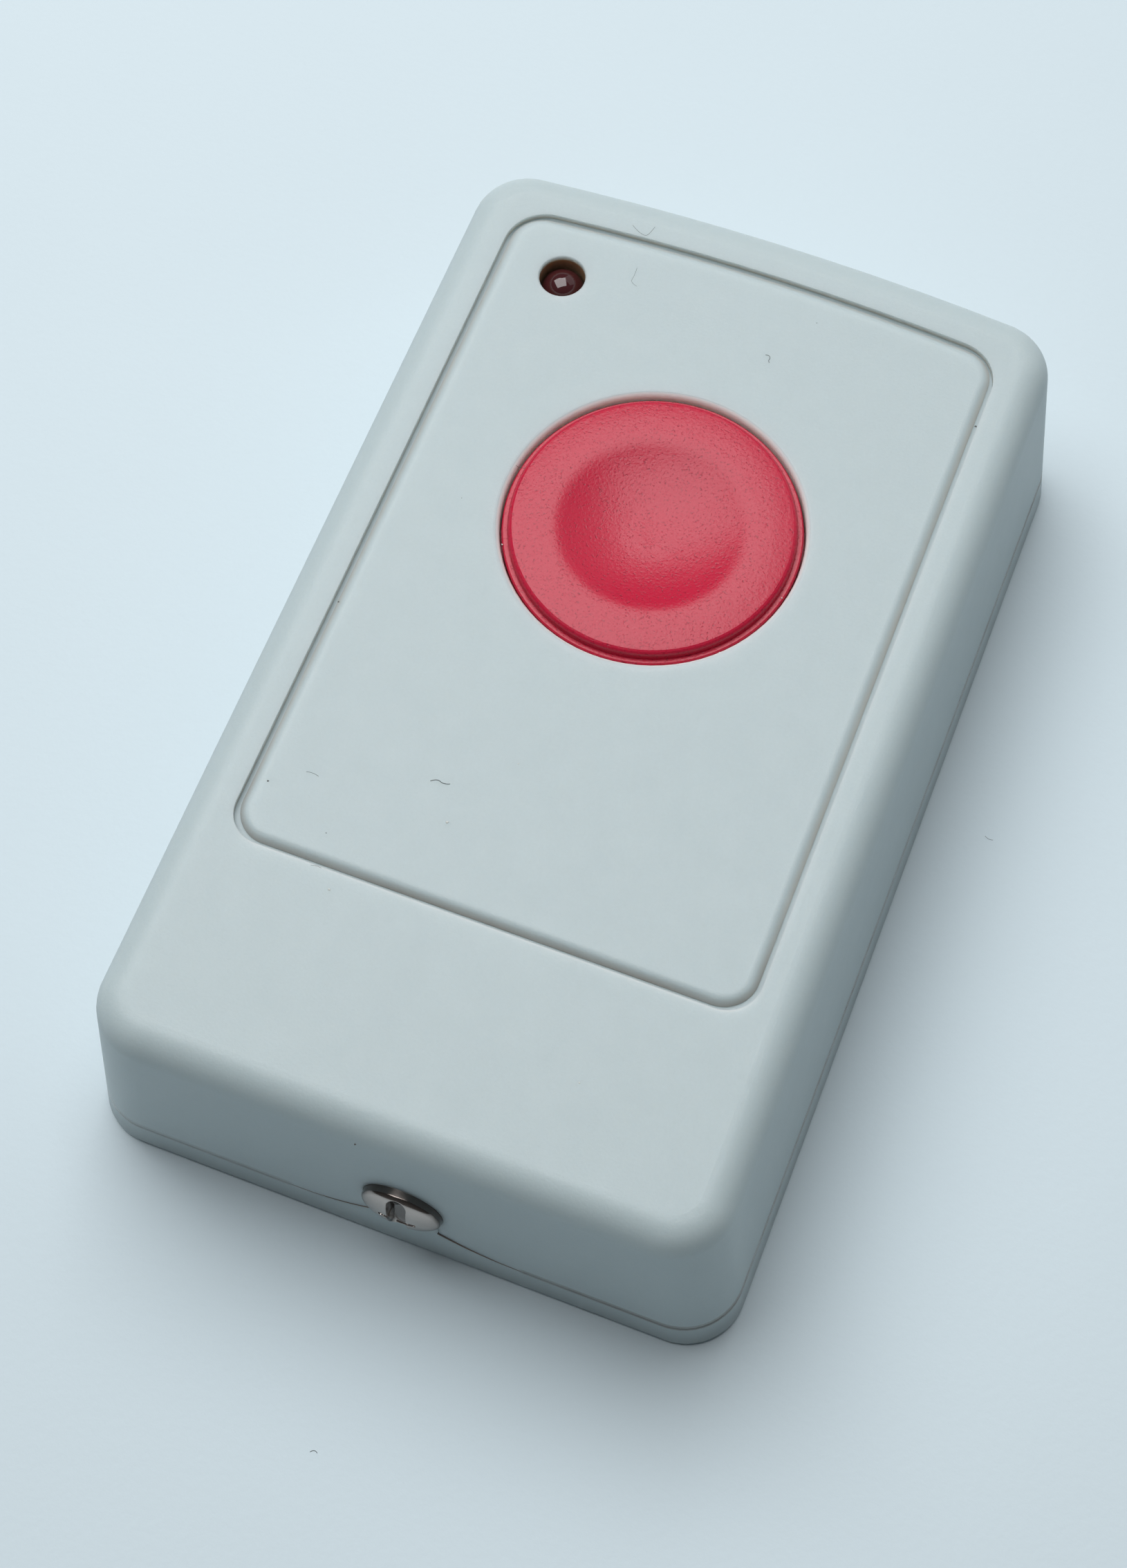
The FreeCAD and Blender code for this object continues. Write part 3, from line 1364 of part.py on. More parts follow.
def make_resonator_can():
    body = new_body("resonator_can")
    place(body, "ResonatorAside", "-ResonatorPlace", "BoardTop")
    sketch = new_sketch(body, "can_profile", "XZ_Plane")
    draw_loop(sketch, [
        ("0", "0"),
        ("ResonatorFlangeRadius", "0"),
        ("ResonatorFlangeRadius", "ResonatorFlangeThickness"),
        ("ResonatorRadius", "ResonatorFlangeThickness"),
        ("ResonatorRadius", "ResonatorHeight"),
        ("0", "ResonatorHeight"),
    ])
    revolve(body, "can", sketch)
    sketch = new_sketch(body, "can_lead_circles", "XY_Plane")
    for turn in ("-1", "1"):
        draw_circle(sketch, f"{turn} * ResonatorLeadReach", "0", "LeadWidth / 2")
    pad(body, "can_leads", sketch, "BoardThickness + SolderTail", backward=True)
    return body


def make_encoder_chip():
    return box("encoder_chip", "-ChipAside - ChipLength / 2", "-ChipPlace - ChipWidth / 2",
               "BoardTop + ChipLift", "ChipLength", "ChipWidth", "ChipHeight")


def make_chip_legs():
    """Fourteen bent legs, seven down each long side of the chip."""
    feet = []
    row = "ChipWidth / 2"
    for side, sign in (("near", "-1"), ("far", "1")):
        for number in range(7):
            x_text = f"-ChipAside + {number - 3} * ChipLegPitch - ChipLegWidth / 2"
            edge = f"-ChipPlace + {sign} * ({row} + ChipLegReach / 2)"
            foot = box(f"chip_foot_{side}_{number}", x_text,
                       f"{edge} - ChipLegReach / 2", "BoardTop",
                       "ChipLegWidth", "ChipLegReach", "ChipLegThickness")
            riser = box(f"chip_riser_{side}_{number}", x_text,
                        f"-ChipPlace + {sign} * ({row} + ChipLegThickness / 2)"
                        " - ChipLegThickness / 2", "BoardTop",
                        "ChipLegWidth", "ChipLegThickness", "ChipHeight / 2 + ChipLift")
            feet.append(fuse(f"chip_leg_{side}_{number}", [foot, riser]))
    return group("chip_legs", feet)


def make_transistor():
    """A small moulded transistor: a round body with one flat side."""
    body = new_body("transistor")
    place(body, "TransistorAside", "TransistorPlace", "BoardTop + TransistorLift")
    half = "sqrt(TransistorRadius ^ 2 - TransistorFlat ^ 2)"
    sketch = new_sketch(body, "transistor_profile", "XY_Plane")
    draw_loop(sketch, [
        (f"-{half}", "-TransistorFlat"),
        (half, "-TransistorFlat", "TransistorRadius", 1),
        ("0", "TransistorRadius", "TransistorRadius", 1),
    ])
    pad(body, "transistor_block", sketch, "TransistorHeight")
    return body


def make_transistor_legs():
    return legs("transistor_legs", TRANSISTOR_LEADS, "LeadWidth",
                "BoardTop + TransistorLift")


def make_capacitor_can():
    body = new_body("capacitor_can")
    place(body, "-CapacitorAside", "CapacitorPlace", "BoardTop")
    sketch = new_sketch(body, "capacitor_circle", "XY_Plane")
    draw_circle(sketch, "0", "0", "CapacitorRadius")
    pad(body, "capacitor_can_block", sketch, "CapacitorHeight")
    rim = ring_edge(amount("CapacitorHeight"), amount("CapacitorRadius"))
    bevel_edges(body, "capacitor_rim", rim, "CapacitorEdgeBevel")
    return body


def make_capacitor_legs():
    return legs("capacitor_legs", CAPACITOR_LEADS, "LeadWidth", "BoardTop")


def make_chips(label, places):
    """Small ceramic blocks with one size, soldered flat to the board."""
    blocks = []
    for number, (x_text, y_text) in enumerate(places, start=1):
        blocks.append(box(f"{label}_{number}", f"{x_text} - SmallLength / 2",
                          f"{y_text} - SmallWidth / 2", "BoardTop",
                          "SmallLength", "SmallWidth", "SmallHeight"))
    return group(label, blocks)


def make_antenna_loop():
    """A hoop bent from bare square strip that stands across the board's far end."""
    body = new_body("antenna_loop")
    start, finish = "AntennaStart", "(AntennaStart + AntennaLength)"
    foot, crown, bend = "(BoardHeight - SolderTail)", "(BoardTop + AntennaRise)", "AntennaBend"
    route = new_sketch(body, "antenna_route", "XZ_Plane", "-AntennaPlace")
    draw_loop(route, [
        (start, foot),
        (start, f"{crown} - {bend}", bend, -1),
        (f"{start} + {bend}", crown),
        (f"{finish} - {bend}", crown, bend, -1),
        (finish, f"{crown} - {bend}"),
        (finish, foot),
    ], closed=False)
    section = new_sketch(body, "antenna_strip", "XY_Plane", foot)
    half = "AntennaStrip / 2"
    draw_box(section, f"{start} - {half}", f"AntennaPlace - {half}",
             f"{start} + {half}", f"AntennaPlace + {half}")
    sweep(body, "hoop", section, route)
    return body


pieces = [
    make_upper_shell(),
    make_lower_shell(),
    make_button_cap(),
    make_case_screw(),
    make_screw_insert(),
    make_circuit_board(),
    make_board_screws(),
    make_switch_housing(),
    make_switch_cover(),
    make_switch_dome(),
    make_switch_plunger(),
    make_switch_terminals(),
    make_led_lamp(),
    make_led_leads(),
    make_battery(),
    make_contact("positive_contact", CONTACT_FACE),
    make_contact("negative_plate", f"-{CONTACT_FACE} - ContactThickness"),
    make_negative_spring(),
    make_resonator_can(),
    make_encoder_chip(),
    make_chip_legs(),
    make_transistor(),
    make_transistor_legs(),
    make_capacitor_can(),
    make_capacitor_legs(),
    make_chips("ceramic_capacitors", CERAMIC_PLACES),
    make_chips("resistors", RESISTOR_PLACES),
    make_antenna_loop(),
]

doc.recompute()
for thing in doc.Objects:
    if "Invalid" in thing.State or "Error" in thing.State:
        raise RuntimeError(f"{thing.Label} failed: {thing.State}")
os.makedirs("parts", exist_ok=True)
for piece in pieces:
    shape = piece.Shape
    if shape.isNull() or not shape.isValid() or shape.Volume <= 0:
        raise RuntimeError(f"{piece.Label} has no valid shape")
    shape.exportStep(f"parts/{piece.Label}.step")
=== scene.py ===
import math

import bmesh
import bpy
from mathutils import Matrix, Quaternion, Vector


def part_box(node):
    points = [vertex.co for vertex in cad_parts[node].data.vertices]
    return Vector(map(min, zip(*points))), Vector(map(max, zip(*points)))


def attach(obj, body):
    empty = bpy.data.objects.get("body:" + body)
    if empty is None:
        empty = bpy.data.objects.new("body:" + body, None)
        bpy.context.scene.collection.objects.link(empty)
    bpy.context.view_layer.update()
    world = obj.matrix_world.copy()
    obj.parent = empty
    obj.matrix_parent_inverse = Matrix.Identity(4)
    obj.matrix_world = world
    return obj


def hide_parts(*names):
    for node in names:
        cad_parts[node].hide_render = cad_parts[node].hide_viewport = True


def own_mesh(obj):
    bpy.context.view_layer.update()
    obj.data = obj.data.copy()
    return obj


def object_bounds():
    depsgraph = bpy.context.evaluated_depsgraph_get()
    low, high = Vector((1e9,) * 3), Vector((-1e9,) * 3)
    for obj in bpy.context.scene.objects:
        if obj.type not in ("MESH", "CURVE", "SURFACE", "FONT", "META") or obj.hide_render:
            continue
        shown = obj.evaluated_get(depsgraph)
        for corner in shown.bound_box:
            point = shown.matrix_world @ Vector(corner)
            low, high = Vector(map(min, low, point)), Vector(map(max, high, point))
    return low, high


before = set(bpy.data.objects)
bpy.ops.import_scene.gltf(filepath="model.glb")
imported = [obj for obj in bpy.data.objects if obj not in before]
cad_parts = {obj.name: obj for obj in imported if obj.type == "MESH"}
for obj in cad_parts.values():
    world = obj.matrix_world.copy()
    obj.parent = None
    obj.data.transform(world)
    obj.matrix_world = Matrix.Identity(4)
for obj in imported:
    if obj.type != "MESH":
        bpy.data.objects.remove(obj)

cad_low, cad_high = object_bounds()

# Camera: a short telephoto looking down on the near right of the case, as a person holding
# the camera over a table would. The case stands a little turned and tilted in its picture.
camera_place = Vector((0.03059, -0.07599, 0.17955))
camera_aim = Vector((0.0013, -0.0091, 0.0176))
camera_tilt = math.radians(-2.54)
camera_lens = 64.42
camera_near = 0.01

camera = bpy.data.objects.new("camera", bpy.data.cameras.new("camera"))
bpy.context.collection.objects.link(camera)
camera.data.lens = camera_lens
camera.data.clip_start = camera_near
camera.location = camera_place
camera.rotation_mode = "QUATERNION"
level = (camera_aim - camera_place).to_track_quat("-Z", "Y")
camera.rotation_quaternion = level @ Quaternion((0, 0, 1), camera_tilt)
bpy.context.scene.camera = camera
bpy.context.scene.view_settings.view_transform = "Standard"

# Table: smooth white card under the case, wide enough to fill the camera's view.
# It is matt, with a faint cloudiness of its pulp.
table_size = 6.0
card_colour = (0.62, 0.725, 0.78)
card_roughness = 0.75
card_cloud_width = 0.03
card_cloud_strength = 0.012
pulp_width = 0.0006
pulp_height = 0.00002


def feed(finish, socket, value):
    """Gives a socket a plain value, or the output of another node."""
    if isinstance(value, bpy.types.NodeSocket):
        finish.node_tree.links.new(value, socket)
    else:
        socket.default_value = value


def add_node(finish, kind, inputs, **settings):
    """Adds one node to a finish: its settings by name, its inputs by name or number."""
    node = finish.node_tree.nodes.new("ShaderNode" + kind)
    for name, value in settings.items():
        setattr(node, name, value)
    for name, value in inputs.items():
        feed(finish, node.inputs[name], value)
    return node


def own_place(finish):
    """Where each point of the solid lies, in metres."""
    return add_node(finish, "TexCoord", {}).outputs["Object"]


def start_finish(name, colour, roughness, metal=0.0):
    """A plain finish of one colour and gloss. Returns it with its shader."""
    finish = bpy.data.materials.new(name)
    finish.use_nodes = True
    shader = finish.node_tree.nodes["Principled BSDF"]
    shader.inputs["Base Color"].default_value = (*colour, 1.0)
    shader.inputs["Roughness"].default_value = roughness
    shader.inputs["Metallic"].default_value = metal
    return finish, shader


def cloud(finish, width, detail=2.0):
    """Soft noise through the whole solid, from 0 to 1, with blobs about this wide in metres."""
    layout = {"Vector": own_place(finish), "Scale": 1.0 / width, "Detail": detail}
    return add_node(finish, "TexNoise", layout).outputs["Fac"]


def blend_colours(finish, amount, first, second):
    """Mixes two colours by an amount."""
    mix = add_node(finish, "Mix", {"Factor": amount}, data_type="RGBA")
    feed(finish, mix.inputs["A"], first)
    feed(finish, mix.inputs["B"], second)
    return mix.outputs["Result"]


def shade(colour, amount):
    """The same colour made lighter or darker."""
    return (*(min(1.0, part * amount) for part in colour), 1.0)


def mottle(finish, shader, colour, width, strength):
    """Clouds the colour by a small share either way, in blobs about this wide."""
    result = blend_colours(
        finish, cloud(finish, width), shade(colour, 1.0 - strength), shade(colour, 1.0 + strength)
    )
    feed(finish, shader.inputs["Base Color"], result)
    return result


def emboss(finish, shader, *reliefs):
    """Raises the surface by heights in metres, given as pairs of height and pattern."""
    normal = None
    for height, pattern in reliefs:
        bump = add_node(finish, "Bump", {"Height": pattern, "Distance": height, "Strength": 1.0})
        if normal is not None:
            feed(finish, bump.inputs["Normal"], normal)
        normal = bump.outputs["Normal"]
    feed(finish, shader.inputs["Normal"], normal)


card, card_shader = start_finish("white_card", card_colour, card_roughness)
mottle(card, card_shader, card_colour, card_cloud_width, card_cloud_strength)
emboss(card, card_shader, (pulp_height, cloud(card, pulp_width, detail=4.0)))
sheet = bmesh.new()
bmesh.ops.create_grid(sheet, x_segments=1, y_segments=1, size=table_size / 2)
table_mesh = bpy.data.meshes.new("table")
sheet.to_mesh(table_mesh)
sheet.free()
table = bpy.data.objects.new("table", table_mesh)
bpy.context.collection.objects.link(table)
table.data.materials.append(card)

# Light: one large square soft box up on the left, turned as its reflection in the lamp shows,
# a weak one low behind the case on the right, and a dim room.
key_direction = Vector((-0.26, 0.25, 0.92)).normalized()
key_distance = 0.5
key_size = 0.46
key_power = 3.07
key_turn = math.radians(-12)
fill_direction = Vector((0.3, 0.75, 0.6)).normalized()
fill_distance = 0.6
fill_size = 0.5
fill_power = 0.41
room_colour = (1.0, 1.0, 1.0)
room_brightness = 0.08

lit_point = Vector((0, 0, cad_high.z))


def soft_box(name, direction, distance, size, power, turn):
    """A square light that faces the case from a direction, turned about its own axis."""
    box = bpy.data.objects.new(name, bpy.data.lights.new(name, "AREA"))
    bpy.context.collection.objects.link(box)
    box.data.shape = "SQUARE"
    box.data.size = size
    box.data.energy = power
    box.location = lit_point + direction * distance
    box.rotation_mode = "QUATERNION"
    facing = (-direction).to_track_quat("-Z", "Y")
    box.rotation_quaternion = facing @ Quaternion((0, 0, 1), turn)


soft_box("key_light", key_direction, key_distance, key_size, key_power, key_turn)
soft_box("fill_light", fill_direction, fill_distance, fill_size, fill_power, 0.0)
room = bpy.data.worlds.new("room")
room.use_nodes = True
room.node_tree.nodes["Background"].inputs["Color"].default_value = (*room_colour, 1.0)
room.node_tree.nodes["Background"].inputs["Strength"].default_value = room_brightness
bpy.context.scene.world = room

# Case: two shells of pale grey ABS, injection moulded with a fine spark-eroded grain. They meet
# on a thin seam low on the sides, where dirt has settled. The foot of the panel's groove is
# painted darker on its near part and a pale tan on its far part, a painted glow of light through
# the thin wall. The walls of the lamp's and the cap's holes carry painted glow too, and the lower
# shell is painted darker towards the table as painted shade. The plastic lets a little light
# through at its thin edges.
case_colour = (0.475, 0.562, 0.583)
case_mean_roughness = 0.45
case_roughness = (0.42, 0.52)
gloss_width = 0.002
glow_share = 0.9
glow_depth = (0.0024, 0.0022, 0.0020)
cloud_width = 0.006
cloud_strength = 0.012
pit_width = 0.00018
pit_shade = 0.95
grain_width = 0.0002
grain_height = 0.000016
wave_height = 0.00002
tray_under = -0.001
tray_foot = 0.0004
tray_top = 0.0032
tray_top_soft = 0.00002
# Painted shade: the lower shell grows darker towards the table.
tray_top_painted_shade = 0.98
tray_foot_painted_shade = 0.76
seam_colour = (0.12, 0.09, 0.065, 1.0)
seam_line = (0.00300, 0.00352)
seam_soft = 0.0002
seam_patch_width = 0.004
seam_patch_share = (0.2, 0.75)
seam_left_to_right = (-0.018, 0.012)
seam_left_to_right_share = (0.45, 1.0)
tongue_span = (-0.0072, 0.0084)
tongue_soft = 0.0004
tongue_face_depth = (-0.0340, -0.0345)
# Painted at the foot of the groove: a darker brown on its near part, and on its far part a pale
# tan, a painted glow of light through the thin wall.
groove_foot_dark_colour = (0.24, 0.185, 0.14, 1.0)
groove_painted_glow_colour = (0.50, 0.46, 0.40, 1.0)
groove_across = (-0.0180, 0.0180)
groove_along = (-0.0203, 0.0327)
groove_soft = 0.0001
groove_foot = 0.01711
groove_foot_soft = 0.00003
groove_rim = 0.01752
groove_patch_width = 0.005
groove_patch_share = (0.5, 1.0)
groove_thins_out = (-0.019, -0.012)
# Painted glow on the wall of the lamp's hole: a light tan that stands in for light there.
lamp_hole_glow_colour = (0.38, 0.25, 0.15, 1.0)
lamp_hole_radius = 0.00165
lamp_hole_soft = 0.00015
lamp_hole_wall = (0.0150, 0.01712)
lamp_hole_wall_soft = 0.0002
# Painted glow on the wall and mouth of the cap's hole: a pale grey that stands in for light there.
cap_hole_glow_colour = (0.74, 0.74, 0.73, 1.0)
cap_hole_radius = 0.0108
cap_hole_soft = 0.0001
cap_hole_wall = (0.0158, 0.01750)
cap_hole_wall_soft = 0.00008


def between(finish, amount, low, high):
    """Turns a 0 to 1 amount into a value from low to high."""
    spread = add_node(finish, "MapRange", {"Value": amount, "To Min": low, "To Max": high})
    return spread.outputs["Result"]


def roughen(finish, shader, width, low, high):
    """Lets the gloss change a little from place to place."""
    feed(finish, shader.inputs["Roughness"], between(finish, cloud(finish, width), low, high))


def ramp(finish, value, start, end):
    """0 where a value is at its start or before it, and 1 where it has reached its end."""
    span = {"Value": value, "From Min": start, "From Max": end}
    return add_node(finish, "MapRange", span).outputs["Result"]


def climb(finish, axis, start, end):
    """0 before one place along an axis of the case and 1 past another, whichever way they lie."""
    along = add_node(finish, "SeparateXYZ", {"Vector": own_place(finish)}).outputs[axis]
    return ramp(finish, along, start, end)


def both(finish, *patterns):
    """Where patterns meet: their product."""
    result = patterns[0]
    for pattern in patterns[1:]:
        times = add_node(finish, "Math", {0: result, 1: pattern}, operation="MULTIPLY")
        result = times.outputs["Value"]
    return result


def band(finish, axis, low, high, soft):
    """1 between two places along an axis of the case, fading to 0 a short way outside them."""
    rise = climb(finish, axis, low - soft, low)
    return both(finish, rise, climb(finish, axis, high + soft, high))


def round_spot(finish, middle, radius, soft):
    """1 within a radius of an upright line through a place on the roof, fading to 0 outside it."""
    flatten = {0: own_place(finish), 1: (1.0, 1.0, 0.0)}
    level = add_node(finish, "VectorMath", flatten, operation="MULTIPLY").outputs["Vector"]
    ends = {0: level, 1: (middle[0], middle[1], 0.0)}
    distance = add_node(finish, "VectorMath", ends, operation="DISTANCE").outputs["Value"]
    return ramp(finish, distance, radius + soft, radius)


def dress(finish, *names):
    """Gives solids of the case and its insides their finish."""
    for name in names:
        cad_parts[name].data.materials[0] = finish


lamp_low, lamp_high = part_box("led_lamp")
lamp_middle = (lamp_low + lamp_high) / 2
cap_low, cap_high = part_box("button_cap")
cap_middle = (cap_low + cap_high) / 2
case_plastic, case_shader = start_finish("case_plastic", case_colour, case_mean_roughness)
case_shader.inputs["Subsurface Weight"].default_value = glow_share
case_shader.inputs["Subsurface Radius"].default_value = glow_depth
case_shader.inputs["Subsurface Scale"].default_value = 1.0
clouded = mottle(case_plastic, case_shader, case_colour, cloud_width, cloud_strength)
pits = cloud(case_plastic, pit_width, detail=3.0)
pitted = blend_colours(case_plastic, pits, shade(case_colour, pit_shade), clouded)
# Painted shade on the lower shell, darker towards the table.
tray_painted_shade_colour = blend_colours(
    case_plastic,
    climb(case_plastic, "Z", tray_top, tray_foot),
    shade(case_colour, tray_top_painted_shade),
    shade(case_colour, tray_foot_painted_shade),
)
tray_place = band(case_plastic, "Z", tray_under, tray_top, tray_top_soft)
shells = blend_colours(case_plastic, tray_place, pitted, tray_painted_shade_colour)
tongue_face = both(
    case_plastic,
    band(case_plastic, "X", *tongue_span, tongue_soft),
    climb(case_plastic, "Y", *tongue_face_depth),
)
seam_grime = both(
    case_plastic,
    band(case_plastic, "Z", *seam_line, seam_soft),
    between(case_plastic, cloud(case_plastic, seam_patch_width), *seam_patch_share),
    between(
        case_plastic, climb(case_plastic, "X", *seam_left_to_right), *seam_left_to_right_share
    ),
    between(case_plastic, tongue_face, 1.0, 0.0),
)
seamed = blend_colours(case_plastic, seam_grime, shells, seam_colour)
# The groove's foot: painted darker on its near part, with painted glow on its far part.
groove_foot_dark_and_glow = both(
    case_plastic,
    band(case_plastic, "X", *groove_across, groove_soft),
    band(case_plastic, "Y", *groove_along, groove_soft),
    climb(case_plastic, "Z", groove_foot, groove_foot + groove_foot_soft),
    climb(case_plastic, "Z", groove_rim, groove_foot),
    between(case_plastic, cloud(case_plastic, groove_patch_width), *groove_patch_share),
)
far_groove_glow_share = climb(case_plastic, "Y", *groove_thins_out)
foot_colour = blend_colours(case_plastic, far_groove_glow_share, groove_foot_dark_colour, groove_painted_glow_colour)
grooved = blend_colours(case_plastic, groove_foot_dark_and_glow, seamed, foot_colour)
# Painted glow on the wall of the lamp's hole.
lamp_glow_mask = both(
    case_plastic,
    round_spot(case_plastic, lamp_middle, lamp_hole_radius, lamp_hole_soft),
    band(case_plastic, "Z", *lamp_hole_wall, lamp_hole_wall_soft),
)
with_lamp_glow = blend_colours(case_plastic, lamp_glow_mask, grooved, lamp_hole_glow_colour)
# Painted glow on the wall and mouth of the cap's hole.
cap_glow_mask = both(
    case_plastic,
    round_spot(case_plastic, cap_middle, cap_hole_radius, cap_hole_soft),
    band(case_plastic, "Z", *cap_hole_wall, cap_hole_wall_soft),
)
with_cap_glow = blend_colours(case_plastic, cap_glow_mask, with_lamp_glow, cap_hole_glow_colour)
feed(case_plastic, case_shader.inputs["Base Color"], with_cap_glow)
roughen(case_plastic, case_shader, gloss_width, *case_roughness)
emboss(
    case_plastic,
    case_shader,
    (grain_height, cloud(case_plastic, grain_width, detail=3.0)),
    (wave_height, cloud(case_plastic, cloud_width, detail=1.0)),
)
dress(case_plastic, "upper_shell", "lower_shell")

# Marks: what use has left on the case, one by one: short fibres, dark lint and pale dust on the
# roof and in the groove, and a speck on the near wall. Radii and places on the roof are in
# millimetres, and heights and the wall's place in metres.
roof = 0.0176
foot = 0.01712
crumb_flatness = 0.35
crumb_width = 0.8
crumb_bulges = 0.22
crumb_notches = 0.13
fibre_lift = 2 / 3
fluff_width = 0.00004
fluff_height = 0.000004
fibre_colour = (0.09, 0.10, 0.105)
lint_colour = (0.10, 0.10, 0.10)
dust_colour = (0.60, 0.62, 0.60)
dark_fibres = (
    (0.022, ((-6.67, -11.91), (-6.3, -11.6), (-5.8, -11.85), (-5.41, -11.66)), roof),
    (0.018, ((2.5, 25.55), (2.75, 25.6), (2.89, 25.4), (2.82, 25.15), (2.95, 25.05)), roof),
    (0.014, ((-10.14, 11.49), (-9.75, 11.35), (-9.3, 11.7), (-9.25, 11.45)), roof),
    (0.010, ((-9.7, 32.3), (-9.2, 31.95), (-8.6, 31.75), (-8.35, 32.0), (-8.2, 32.7)), roof),
    (0.008, ((-8.16, 29.08), (-8.1, 28.4), (-8.2, 27.8), (-7.63, 27.66)), roof),
    (0.012, ((-14.29, -14.13), (-13.9, -14.0), (-13.43, -14.14)), roof),
    (0.010, ((-11.46, -19.92), (-11.1, -19.8), (-10.75, -19.88)), roof),
)
lint_specks = (
    (0.07, (-16.31, -15.58), roof),
    (0.06, (-17.19, -2.18), roof),
    (0.08, (8.41, 31.78), foot),
    (0.08, (17.5, 25.5), foot),
    (0.08, (-3.2, 32.11), foot),
    (0.04, (-11.43, -17.57), roof),
    (0.035, (4.9, 29.2), roof),
    (0.03, (-12.6, 7.9), roof),
)
dust_specks = (
    (0.10, (-4.59, -14.17), roof),
    (0.08, (-9.73, -21.03), roof),
    (0.06, (9.4, -27.2), roof),
    (0.05, (-1.9, -8.8), roof),
)
wall_speck = Vector((-0.0021, -0.03519, 0.0159))
wall_speck_radius = 0.07


def draw_strand(name, radius, points, finish):
    """A round strand on a smooth line through places in metres, each with its share of radius."""
    line = bpy.data.curves.new(name, "CURVE")
    line.dimensions = "3D"
    line.bevel_depth = radius / 1000
    line.bevel_resolution = 2
    run = line.splines.new("NURBS")
    run.points.add(len(points) - 1)
    for point, (place, share) in zip(run.points, points):
        point.co = (*place, 1.0)
        point.radius = share
    run.order_u = 3
    run.use_endpoint_u = True
    line.materials.append(finish)
    strand = bpy.data.objects.new(name, line)
    bpy.context.collection.objects.link(strand)
    return strand


def lay_fibre(name, radius, bends, height, finish):
    """A fibre on a level face: its radius and its bends in millimetres, the face in metres."""
    level = height + radius * fibre_lift / 1000
    points = [((across / 1000, along / 1000, level), 1.0) for across, along in bends]
    return draw_strand(name, radius, points, finish)


def drop_speck(name, places, finish):
    """Flat ragged crumbs, given as pairs of radius in millimetres and place in metres."""
    crumbs = bmesh.new()
    for number, (radius, place) in enumerate(places):
        made = bmesh.ops.create_icosphere(crumbs, subdivisions=2, radius=radius / 1000)
        for point in made["verts"]:
            turn = math.atan2(point.co.y, point.co.x)
            bulges = crumb_bulges * math.sin(3 * turn + number)
            notches = crumb_notches * math.sin(5 * turn - number)
            ragged = 1.0 + bulges + notches
            point.co.x *= ragged
            point.co.y *= ragged * crumb_width
            point.co.z *= crumb_flatness
            point.co += place
    mesh = bpy.data.meshes.new(name)
    crumbs.to_mesh(mesh)
    crumbs.free()
    mesh.shade_smooth()
    mesh.materials.append(finish)
    specks = bpy.data.objects.new(name, mesh)
    bpy.context.collection.objects.link(specks)
    return specks


def lint_finish(name, colour):
    """Dull fluff of one colour, a little uneven."""
    finish, shader = start_finish(name, colour, roughness=0.8)
    mottle(finish, shader, colour, width=0.0001, strength=0.3)
    emboss(finish, shader, (fluff_height, cloud(finish, fluff_width)))
    return finish


dark_fibre = lint_finish("dark_fibre", fibre_colour)
dark_lint = lint_finish("dark_lint", lint_colour)
pale_dust = lint_finish("pale_dust", dust_colour)
case_marks = [
    lay_fibre(f"case_fibre_{number}", *fibre, dark_fibre)
    for number, fibre in enumerate(dark_fibres)
]
lint_places = [(size, Vector((x / 1000, y / 1000, z))) for size, (x, y), z in lint_specks]
lint_places.append((wall_speck_radius, wall_speck))
dust_places = [(size, Vector((x / 1000, y / 1000, z))) for size, (x, y), z in dust_specks]
case_marks.append(drop_speck("case_lint", lint_places, dark_lint))
case_marks.append(drop_speck("case_dust", dust_places, pale_dust))
for mark in case_marks:
    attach(mark, "case")

# Tongue seam: dirt packed into the gap where the lower shell's tongue flares out beside the
# case screw. It is thick by the screw and thins out along the seam. Sizes are in millimetres.
flare_radius = 12.0
flare_reach = 8.0
flare_start = 2.3
flare_foot = 3.2
flare_steps = 8
wall_lean = math.tan(math.radians(3.9))
case_end = 36.2
seam_dirt_colour = (0.20, 0.165, 0.135)
seam_dirt_taper = 0.85
right_dirt_radius = 0.09
left_dirt_radius = 0.05


def tongue_grime(name, side, radius, finish):
    """A tapering line of dirt along one flare of the tongue."""
    points = []
    for step in range(flare_steps + 1):
        share = step / flare_steps
        out = flare_start + (flare_reach - flare_start) * step / flare_steps
        height = flare_foot + flare_radius - math.sqrt(flare_radius**2 - (flare_reach - out) ** 2)
        wall = height * wall_lean - case_end
        across = screw_aside + side * out
        place = (across / 1000, wall / 1000, height / 1000)
        points.append((place, 1.0 - seam_dirt_taper * share))
    return draw_strand(name, radius, points, finish)


insert_low, insert_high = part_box("screw_insert")
screw_aside = 1000 * (insert_low.x + insert_high.x) / 2
seam_dirt = lint_finish("seam_dirt", seam_dirt_colour)
for grime in (
    tongue_grime("tongue_grime_right", 1, right_dirt_radius, seam_dirt),
    tongue_grime("tongue_grime_left", -1, left_dirt_radius, seam_dirt),
):
    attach(grime, "case")

# Table marks: two short fibres that lie on the card beside the case. They are no part of the
# object. Radii and bends are in millimetres.
table_height = 0.0
table_fibres = (
    (0.02, ((0.0, -50.9), (0.2, -50.6), (0.45, -50.8)), table_height),
    (0.012, ((26.9, 4.9), (27.2, 4.7), (27.5, 4.8)), table_height),
)
for number, fibre in enumerate(table_fibres):
    mark = lay_fibre(f"table_fibre_{number}", *fibre, dark_fibre)

